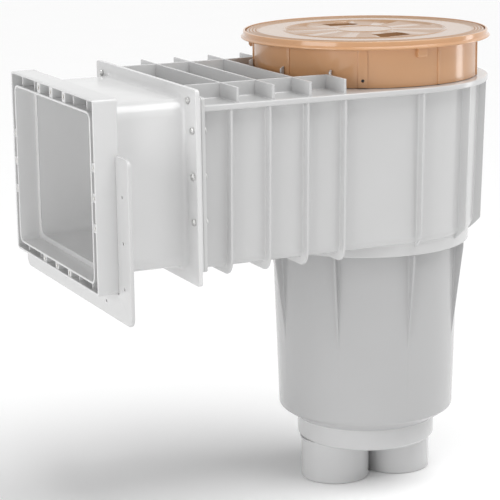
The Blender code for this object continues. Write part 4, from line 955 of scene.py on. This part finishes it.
def makeSleeve():
    low, high = cad("height_sleeve")
    outer, inner = high[0], high[0] - sleeveWall
    profile = softened([(inner, low[2]), (outer, low[2]), (outer, high[2]), (inner, high[2])],
                       [0.5, 1.0, 0.8, 0.8], 4)
    obj = makePiece("sleeve_shell", [lathe(profile, 160)], finishes["inner"], "collar", ["height_sleeve"])
    drilled(obj, screwDrills(105, 125))
    smoothed(obj)


makeSleeve()


# ---- fasteners ----

fasteners = dict(headR=3.8, headH=2.4, shank=2.0, thread=0.35, pitch=0.7, nutR=3.8, nutBore=2.2,
                 insertBore=1.4, grub=dict(r=1.45, thread=0.2, pitch=0.5, length=6.9, key=0.75, keyDepth=1.6))


def threaded(r, depth, pitch, z0, z1, steps=20):
    # A screw's shank: the radius follows a triangle wave of height minus angle,
    # r - depth |2 frac((z / pitch) - a / turn) - 1|.
    zs = np.arange(z0, z1, pitch / 4)
    zs = np.append(zs, z1)
    a = 2 * np.pi * np.arange(steps) / steps
    phase = (zs[:, None] / pitch - a[None, :] / (2 * np.pi)) % 1.0
    radius = r - depth * np.abs(2 * phase - 1)
    pts = np.stack([radius * np.cos(a), radius * np.sin(a), np.broadcast_to(zs[:, None], radius.shape)], -1)
    return surface(pts, closeCols=True, caps=(0, -1))


def panHead(r, h, steps=40):
    # A domed head with a cross recess: the top sinks by a smooth cross in polar form.
    rr = np.concatenate([np.linspace(0, r * 0.62, 9), r * np.sin(np.radians(np.linspace(45, 90, 7)))])
    a = 2 * np.pi * np.arange(steps) / steps
    dome = h * np.sqrt(np.clip(1 - (rr / r) ** 2 * 0.999, 0, 1)) ** 0.7
    arm = np.maximum(np.abs(np.cos(a)), np.abs(np.sin(a)))[None, :] * rr[:, None]
    across = np.minimum(np.abs(np.cos(a)), np.abs(np.sin(a)))[None, :] * rr[:, None]
    sink = 0.55 * h / (1 + np.exp((across - 0.42) * 9)) / (1 + np.exp((arm - 0.55 * r) * 6))
    z = np.broadcast_to(dome[:, None], sink.shape) - sink
    pts = np.stack([rr[:, None] * np.cos(a), rr[:, None] * np.sin(a), z], -1)
    base = np.zeros((1, steps, 3))
    return surface(np.concatenate([pts, base]), closeCols=True)


def hexNut(r, bore, h, steps=48):
    # The radius of a hexagon, r cos 30 / cos(angle from the nearest flat), cut by a cone at both faces.
    a = 2 * np.pi * np.arange(steps) / steps
    flat = r * math.cos(math.pi / 6) / np.cos((a + math.pi / 6) % (math.pi / 3) - math.pi / 6)
    rows = [(np.full(steps, bore), 0.3), (np.full(steps, bore + 0.3), 0.0), (np.minimum(flat, r * 0.9), 0.0),
            (flat, 0.4), (flat, h - 0.4), (np.minimum(flat, r * 0.9), h), (np.full(steps, bore + 0.3), h),
            (np.full(steps, bore), h - 0.3)]
    return surface(around(rows, steps), closeRows=True, closeCols=True)


def insert(r, bore, depth, steps=36):
    # A knurled sleeve: r(1 - 0.03(1 + cos 12a)), open at the front and closed behind.
    a = 2 * np.pi * np.arange(steps) / steps
    knurl = r * (1 - 0.03 * (1 + np.cos(12 * a)))
    rows = [(np.zeros(steps), -depth), (knurl, -depth), (knurl, 0.0), (np.full(steps, bore + 0.25), 0.0),
            (np.full(steps, bore), -0.3), (np.full(steps, bore), -depth + 1.5),
            (np.zeros(steps), -depth + 1.0)]
    return surface(around(rows, steps), closeCols=True)


def makeFasteners():
    f = fasteners
    for k in range(1, 9):
        low, high = cad(f"flange_screw_{k}")
        y, z = (low[1:] + high[1:]) / 2
        length = high[0] - low[0] - f["headH"]
        base = high[0] - f["headH"]
        body = [panHead(f["headR"], f["headH"]), threaded(f["shank"], f["thread"], f["pitch"], -length, 0.2)]
        makePiece(f"joint_screw_{k}", [placed(p, aimed((1, 0, 0)), (base, y, z)) for p in body],
                  finishes["steel"], "housing", [f"flange_screw_{k}"])
        low, high = cad(f"flange_nut_{k}")
        nut = hexNut(f["nutR"], f["nutBore"], high[0] - low[0])
        nut = placed(nut, aimed((-1, 0, 0)), (high[0], *((low[1:] + high[1:]) / 2)))
        makePiece(f"joint_nut_{k}", [nut], finishes["steel"], "housing", [f"flange_nut_{k}"])
    for k in range(1, 13):
        low, high = cad(f"boss_insert_{k}")
        at = (low[0], *((low[1:] + high[1:]) / 2))
        sleeve = insert((high[1] - low[1]) / 2, f["insertBore"], high[0] - low[0])
        makePiece(f"insert_{k}", [placed(sleeve, aimed((-1, 0, 0)), at)], finishes["brass"], "housing",
                  [f"boss_insert_{k}"])
    g = f["grub"]
    body = threaded(g["r"], g["thread"], g["pitch"], -g["length"], 0.0, 24)
    socket = lathe([(0, -g["keyDepth"]), (g["key"], -g["keyDepth"]), (g["key"], 0.05), (0, 0.05)], 6, False)
    for k, out in enumerate(screwDirections(), 1):
        at = out * collarRing["screwAt"] + [0, 0, collarRing["screwZ"]]
        screw = makePiece(f"grub_screw_{k}", [placed(body, aimed(out), at)], finishes["blackSteel"], "collar",
                          [f"set_screw_{k}"])
        drilled(screw, [placed(socket, aimed(out), at)])


makeFasteners()
print("fasteners made")


# ---- gasket between the two flanges ----

def makeGasket():
    low, high = cad("flange_gasket")
    swell = 0.25  # the squeezed edge bulges past the moulded size
    outer = rectangle(low[1] - swell, high[1] + swell, low[2] - swell, high[2] + swell, 3.0, 6)
    makePiece("gasket_ring", [ringSlab(outer, gateOutline(0.2), low[0] - 0.2, high[0] + 0.2, 0.5)],
              finishes["paleRubber"], "housing", ["flange_gasket"])


makeGasket()


# ---- basket and its handle ----

basketShell = dict(topR=94.0, lowR=79.0, rimR=106.0, rimZ=-205.7, t=2.2, bars=72, hoops=11, bar=1.1,
                   spokes=36, rings=(12.0, 26.0, 42.0, 58.0), lugY=(94.5, 99.0), lugHalf=6.0)
bail = dict(z=-198.5, r=88.5, rod=2.5, grip=2.58, gripHalf=24.0, holeR=2.9)


def makeBasket():
    # A cage of fine bars: uprights and hoops on the cone r(z), spokes and rings on the floor, a solid rim.
    b = basketShell
    low, high = cad("basket")
    floorZ, rimZ = low[2], b["rimZ"]

    def cone(z):
        return b["topR"] + (b["lowR"] - b["topR"]) * (rimZ - z) / (rimZ - floorZ)

    rim = softened([(b["rimR"], rimZ), (b["rimR"], rimZ + 2.2), (b["topR"] - 2.4, rimZ + 2.2),
                    (b["topR"] - 3.0, rimZ - 12.0), (b["topR"] - 0.7, rimZ - 12.0), (b["topR"] - 0.2, rimZ)],
                   [0.8, 0.8, 1.2, 0.6, 0.6, 1.0], 4)
    shells = [lathe(rim, 144)]
    for z in np.linspace(rimZ - 22, floorZ + 12, b["hoops"]):
        r = cone(z) - b["t"] / 2
        shells.append(lathe(rectangle(r - b["bar"], r + b["bar"] * 0.9, z - 0.9, z + 0.9, 0.5, 3), 96))
    foot = cone(floorZ + 3)
    base = softened([(foot, floorZ + 5.0), (foot - 0.3, floorZ), (foot - 7, floorZ), (foot - 7, floorZ + 2.2),
                     (foot - 2.5, floorZ + 2.2), (foot - 2.4, floorZ + 5.0)], [0.6, 1.6, 0.6, 0.6, 0.8, 0.6],
                    4)
    shells.append(lathe(base, 120))
    upright = rectangle(-0.95, 0.95, -0.9, 0.9, 0.45, 3)
    z0, z1 = floorZ + 2.5, rimZ - 9.0
    for k in range(b["bars"]):
        rows = [np.column_stack([upright[:, 0] + cone(z) - b["t"] / 2, upright[:, 1],
                                 np.full(len(upright), z)]) for z in (z0, z1)]
        shells.append(turned(surface(np.array(rows), closeCols=True, caps=(0, -1)), 360 * k / b["bars"]))
    for k in range(b["spokes"]):
        bar = rectangle(-0.9, 0.9, floorZ + 0.1, floorZ + 2.0, 0.4, 3)
        inner = b["rings"][0] if k % 3 == 0 else b["rings"][2]
        shells.append(turned(slab(bar, inner, foot - 5, 0.2, "x", 1), 360 / b["spokes"] * k))
    for r in b["rings"]:
        shells.append(lathe(rectangle(r - 1.1, r + 1.1, floorZ + 0.1, floorZ + 2.0, 0.4, 3), 72))
    shells.append(lathe([(0, floorZ + 0.1), (12.5, floorZ + 0.1), (12.5, floorZ + 2.0), (0, floorZ + 2.0)],
                        48, False))
    lug = softened(rectangle(-b["lugHalf"], b["lugHalf"], rimZ + 1.0, high[2]), [0, 0, 4.5, 4.5], 8)
    for s in (-1, 1):
        y0, y1 = sorted(s * y for y in b["lugY"])
        shells.append(ringSlabFrom(lug, arc(0, bail["z"], bail["holeR"], 0, 345, 23), y0, y1))
    makePiece("basket_cage", shells, finishes["basket"], "basket", ["basket"])


def ringSlabFrom(outline, hole, y0, y1):
    # A lug with a round hole, along Y. The outline is read at the hole's angles, so both have as many points.
    pts = anticlockwise(outline)
    centre = hole.mean(0)
    angle = np.arctan2(pts[:, 1] - centre[1], pts[:, 0] - centre[0])
    order = np.argsort(angle)
    holeAngle = np.arctan2(hole[:, 1] - centre[1], hole[:, 0] - centre[0])
    period = dict(period=2 * np.pi)
    outer = np.column_stack([np.interp(holeAngle, angle[order], pts[order, 0], **period),
                             np.interp(holeAngle, angle[order], pts[order, 1], **period)])
    return ringSlab(anticlockwise(outer), anticlockwise(hole), y0, y1, 0.35, "y")


def makeHandle():
    # A round rod: straight into each lug, a short bend, then (r cos a, r sin a) round the rim.
    # It is thicker at the grip.
    b = bail
    z, r = b["z"], b["r"]
    arcs = [(r * math.cos(a), r * math.sin(a), z) for a in np.radians(np.linspace(96, 264, 73))]
    start = [(0, 98.8, z), (0, 95.0, z), (-0.3, 92.2, z), (-2.0, 90.0, z), (-5.0, 88.7, z)]
    path = np.array(start + arcs[1:-1] + [(x, -y, h) for x, y, h in start[::-1]])
    radius = np.where(np.abs(path[:, 1]) < b["gripHalf"], b["grip"], b["rod"])
    rod = tube(path, radius, 24)
    makePiece("handle_bail", [rod], finishes["basket"], "handle", ["basket_handle"])


makeBasket()
makeHandle()
print("basket made")


# ---- trimmer plate and its screw ----

trimmer = dict(r=67.0, span=110.0, hub=9.5, t=4.0, pin=3.1, gripX=(-56.0, -18.0), gripHalf=1.5, markR=62.0,
               headH=2.8, shank=2.5)


def makeTrimmer():
    t = trimmer
    low, high = cad("trimmer_plate")
    first = 180 - t["span"] / 2
    outline = np.vstack([arc(0, 0, t["r"], first, first + t["span"], 40),
                         arc(0, 0, t["hub"], first + t["span"] + 6, first + 354, 30)])
    plate = slab(outline, low[2], low[2] + t["t"], 0.6, "z")
    pin = lathe([(0, low[2] - 2), (t["pin"], low[2] - 2), (t["pin"], low[2] + 8), (0, low[2] + 8)], 32, False)
    obj = makePiece("trimmer_gate", [plate], finishes["fitting"], "trimmer", ["trimmer_plate"],
                    holes=[pin])
    x0, x1 = t["gripX"]
    foot, markR = low[2] + t["t"] - 0.6, t["markR"]
    grip = softened([(x0, foot), (x1, foot), (x1 - 2, high[2]), (x0 + 2, high[2])], [0, 0, 3, 3], 5)
    mark = np.vstack([arc(0, 0, markR + 0.7, 130, 230, 30), arc(0, 0, markR - 0.7, 230, 130, 30)])
    addMesh(obj, meshOf("grip", [slab(grip, -t["gripHalf"], t["gripHalf"], 0.5, "y"),
                                 slab(mark, low[2] + 3.6, low[2] + 4.5, 0.2, "z", 1)]))
    low, high = cad("trimmer_screw")
    seat, upright = (0, 0, high[2] - t["headH"]), np.eye(3)
    head = placed(panHead(high[0], t["headH"]), upright, seat)
    shank = placed(threaded(t["shank"], 0.35, 0.8, low[2] - seat[2], 0.2), upright, seat)
    makePiece("pivot_screw", [head, shank], finishes["steel"], "housing", ["trimmer_screw"])


makeTrimmer()


# ---- port plug with its ring seal ----

plug = dict(grooveZ=-421.5, grooveHalf=1.8, grooveDepth=2.6, wall=4.0, cap=12.0, ringR=1.25)


def makePlug():
    low, high = cad("port_plug")
    x, r = (low[0] + high[0]) / 2, (high[0] - low[0]) / 2
    top, groove, half = high[2], plug["grooveZ"], plug["grooveHalf"]
    deep, bore, under = r - plug["grooveDepth"], r - plug["wall"], top - plug["cap"]
    profile = softened([(0, top), (r, top), (r, groove + half), (deep, groove + half), (deep, groove - half),
                        (r, groove - half), (r - 0.6, low[2]), (bore, low[2]), (bore, under), (0, under)],
                       [0, 1.2, 0.4, 0.3, 0.3, 0.4, 0.8, 0.8, 1.5, 0], 5, closed=False)
    pockets = [slab(rectangle(x - 18, x + 18, *sorted((s * 1.5, s * 7.5)), 1.4, 4), top - 8.5, top + 1, 0.3,
                    "z") for s in (-1, 1)]
    makePiece("plug_body", [lathe(profile, 96, False, (x, 0))], finishes["fitting"], "plug", ["port_plug"],
              holes=pockets)
    low, high = cad("plug_oring")
    section = arc((high[0] - low[0]) / 2 - plug["ringR"], groove, plug["ringR"], 0, 345, 23)
    makePiece("seal_ring", [lathe(section, 96, True, (x, 0))], finishes["rubber"], "plug", ["plug_oring"])


makePlug()
print("fittings made")


# ---- weir door ----

weir = dict(x=-225.0, z=-196.0, half=102.0, t=12.0, low=-189.0, top=-56.0, skin=2.0, barrel=5.0, pin=2.5,
            barrelEnd=93.0, strip=1.2, stripPitch=13.0, coilR=3.8, wire=0.48, coils=3.5, coilY=(94.2, 102.4))


def makeWeir():
    w = weir
    x0, x1 = w["x"] - w["t"] / 2, w["x"] + w["t"] / 2
    outer = rectangle(-w["half"], w["half"], w["low"], w["top"], 5.0, 6)
    # The tray is a rounded pan, open towards the well: rows run up its outside, over the rim and down inside.
    rows = roundOver(lambda d: inset(outer, d), x0, 1, 1.5, (0, 22, 45, 68, 90))
    rows += [(x1 - w["skin"] - 0.3, outer), (x1 - w["skin"], inset(outer, 0.3)),
             (x1 - w["skin"], inset(outer, w["skin"])), (x0 + w["skin"], inset(outer, w["skin"]))]
    tray = surface(acrossX(rows), closeCols=True, caps=(0, -1))
    barrel = lathe(softened([(w["pin"] + 0.3, -w["barrelEnd"]), (w["barrel"], -w["barrelEnd"]),
                             (w["barrel"], w["barrelEnd"]), (w["pin"] + 0.3, w["barrelEnd"])],
                            [0.3, 0.6, 0.6, 0.3], 3), 40)
    neck = rectangle(w["x"] - 3.0, w["x"] + 2.0, w["z"] + 2.0, w["low"] + 1.0, 0.1, 1)
    strips = [slab(rectangle(x0, x0 + w["strip"], z - 0.8, z + 0.8, 0.4, 3), -w["half"] + 8, w["half"] - 8,
                   0.4, "y") for z in np.arange(w["low"] + 14, w["top"] - 8, w["stripPitch"])]
    makePiece("weir_tray", [tray, placed(barrel, aimed((0, 1, 0)), (w["x"], 0, w["z"])),
                            slab(neck, -w["barrelEnd"], w["barrelEnd"], 0.05, "y", 1), *strips],
              finishes["inner"], "weir", ["weir_door"])
    low, high = cad("weir_float")
    makePiece("float_block", [slab(rectangle(low[1], high[1], low[2], high[2], 3.0, 5), low[0], high[0],
                                   0.8)], finishes["foam"], "weir", ["weir_float"])
    low, high = cad("weir_cover")
    makePiece("float_cover", [slab(rectangle(low[1], high[1], low[2], high[2], 5.0, 6), low[0], high[0],
                                   0.5)], finishes["inner"], "weir", ["weir_cover"])
    for side, s in (("right", -1), ("left", 1)):
        low, high = cad(f"weir_bracket_{side}")
        plate = softened([(low[0], low[2]), (high[0], low[2]), (high[0], high[2]), (low[0], high[2])],
                         [0, 0, 5.5, 5.5], 8)
        hole = arc(w["x"], w["z"], 2.8, 0, 345, 23)
        makePiece(f"hinge_bracket_{side}", [ringSlabFrom(plate, hole, low[1], high[1])], finishes["fitting"],
                  "housing", [f"weir_bracket_{side}"])
        low, high = cad(f"weir_pin_{side}")
        pin = lathe(softened([(0, low[1]), (w["pin"], low[1]), (w["pin"], high[1]), (0, high[1])],
                             [0, 0.5, 0.5, 0], 4, False), 32, False)
        makePiece(f"hinge_pin_{side}", [placed(pin, aimed((0, 1, 0)), (w["x"], 0, w["z"]))],
                  finishes["steel"], "housing", [f"weir_pin_{side}"])
        turns = np.linspace(0, 2 * np.pi * w["coils"], 150)
        coil = np.column_stack([w["x"] + w["coilR"] * np.cos(turns), s * np.linspace(*w["coilY"], 150),
                                w["z"] + w["coilR"] * np.sin(turns)])
        makePiece(f"hinge_spring_{side}", [tube(coil, w["wire"], 10)], finishes["steel"], "housing",
                  [f"weir_spring_{side}"])


makeWeir()
print("weir made")


# ---- floor, light and camera ----

stage = dict(size=24000.0, floorZ=-491.2, tone=(0.96, 0.96, 0.96), fill=0.35, walls=1.0)
ceilingLight = dict(energy=2.15, spread=50, direction=(-0.25, 0.30, -1.0))
softboxes = dict(  # in metres and watts: place, what it points at, width and height, power
    stripRight=((1.50, -0.22, 0.12), (0, 0, -0.12), (0.30, 1.15), 3.4),
    frontRight=((2.0, -2.8, 1.1), (0, 0, -0.2), (1.2, 1.6), 8),
    frontLeft=((-2.8, -1.0, 0.3), (-0.3, 0, -0.12), (1.8, 1.6), 32),
)
cameraView = dict(lens=140.89, sensor=36.0, end=100.0, pose=(
    (0.90794, 0.10463, -0.40584, -0.99429), (-0.41887, 0.19364, -0.88716, -1.86754),
    (-0.01423, 0.97548, 0.21964, 0.23986), (0, 0, 0, 1)))


def makeStage():
    s = stage
    half = s["size"] / 2
    corners = np.column_stack([rectangle(-half, half, -half, half), np.full(4, s["floorZ"])])
    floor = linked("floor", meshOf("floor", [(corners, np.array([[0, 1, 2, 3]]), [])]))
    paper = Finish("paper", s["tone"], Roughness=0.9)
    fibres = paper.noise(6.0, 3.0)
    paper.set("Base Color", paper.mix(fibres, tuple(c * 0.985 for c in s["tone"]), s["tone"]))
    floor.data.materials.append(paper.material)
    world = bpy.data.worlds.new("studio")
    bpy.context.scene.world = world
    world.use_nodes = True
    tree = world.node_tree
    # The camera and reflections see the studio's white walls, which light the room less than the lamps do.
    path = tree.nodes.new("ShaderNodeLightPath")
    seen = tree.nodes.new("ShaderNodeMath")
    seen.operation = "MAXIMUM"
    level = tree.nodes.new("ShaderNodeMapRange")
    level.inputs["To Min"].default_value, level.inputs["To Max"].default_value = s["fill"], s["walls"]
    tree.links.new(path.outputs["Is Camera Ray"], seen.inputs[0])
    tree.links.new(path.outputs["Is Glossy Ray"], seen.inputs[1])
    tree.links.new(seen.outputs[0], level.inputs["Value"])
    tree.links.new(level.outputs[0], tree.nodes["Background"].inputs["Strength"])
    tree.nodes["Background"].inputs["Color"].default_value = (1, 1, 1, 1)


def softbox(name, at, to, size, power):
    lamp = bpy.data.lights.new(name, "AREA")
    lamp.shape, lamp.size, lamp.size_y, lamp.energy = "RECTANGLE", size[0], size[1], power
    obj = linked(name, lamp)
    obj.location = at
    obj.rotation_euler = (Vector(to) - Vector(at)).to_track_quat("-Z", "Y").to_euler()


def makeLights():
    sun = bpy.data.lights.new("ceiling", "SUN")
    sun.energy, sun.angle = ceilingLight["energy"], math.radians(ceilingLight["spread"])
    downwards = Vector(ceilingLight["direction"])
    linked("ceiling", sun).rotation_euler = downwards.to_track_quat("-Z", "Y").to_euler()
    for name, (at, to, size, power) in softboxes.items():
        softbox(name, at, to, size, power)


def makeCamera():
    lens = bpy.data.cameras.new("view")
    lens.lens, lens.sensor_width, lens.clip_end = cameraView["lens"], cameraView["sensor"], cameraView["end"]
    camera = linked("view", lens)
    camera.matrix_world = Matrix(cameraView["pose"])
    bpy.context.scene.camera = camera


makeStage()
makeLights()
makeCamera()
bpy.context.scene.view_settings.view_transform = "Standard"
print("stage made")
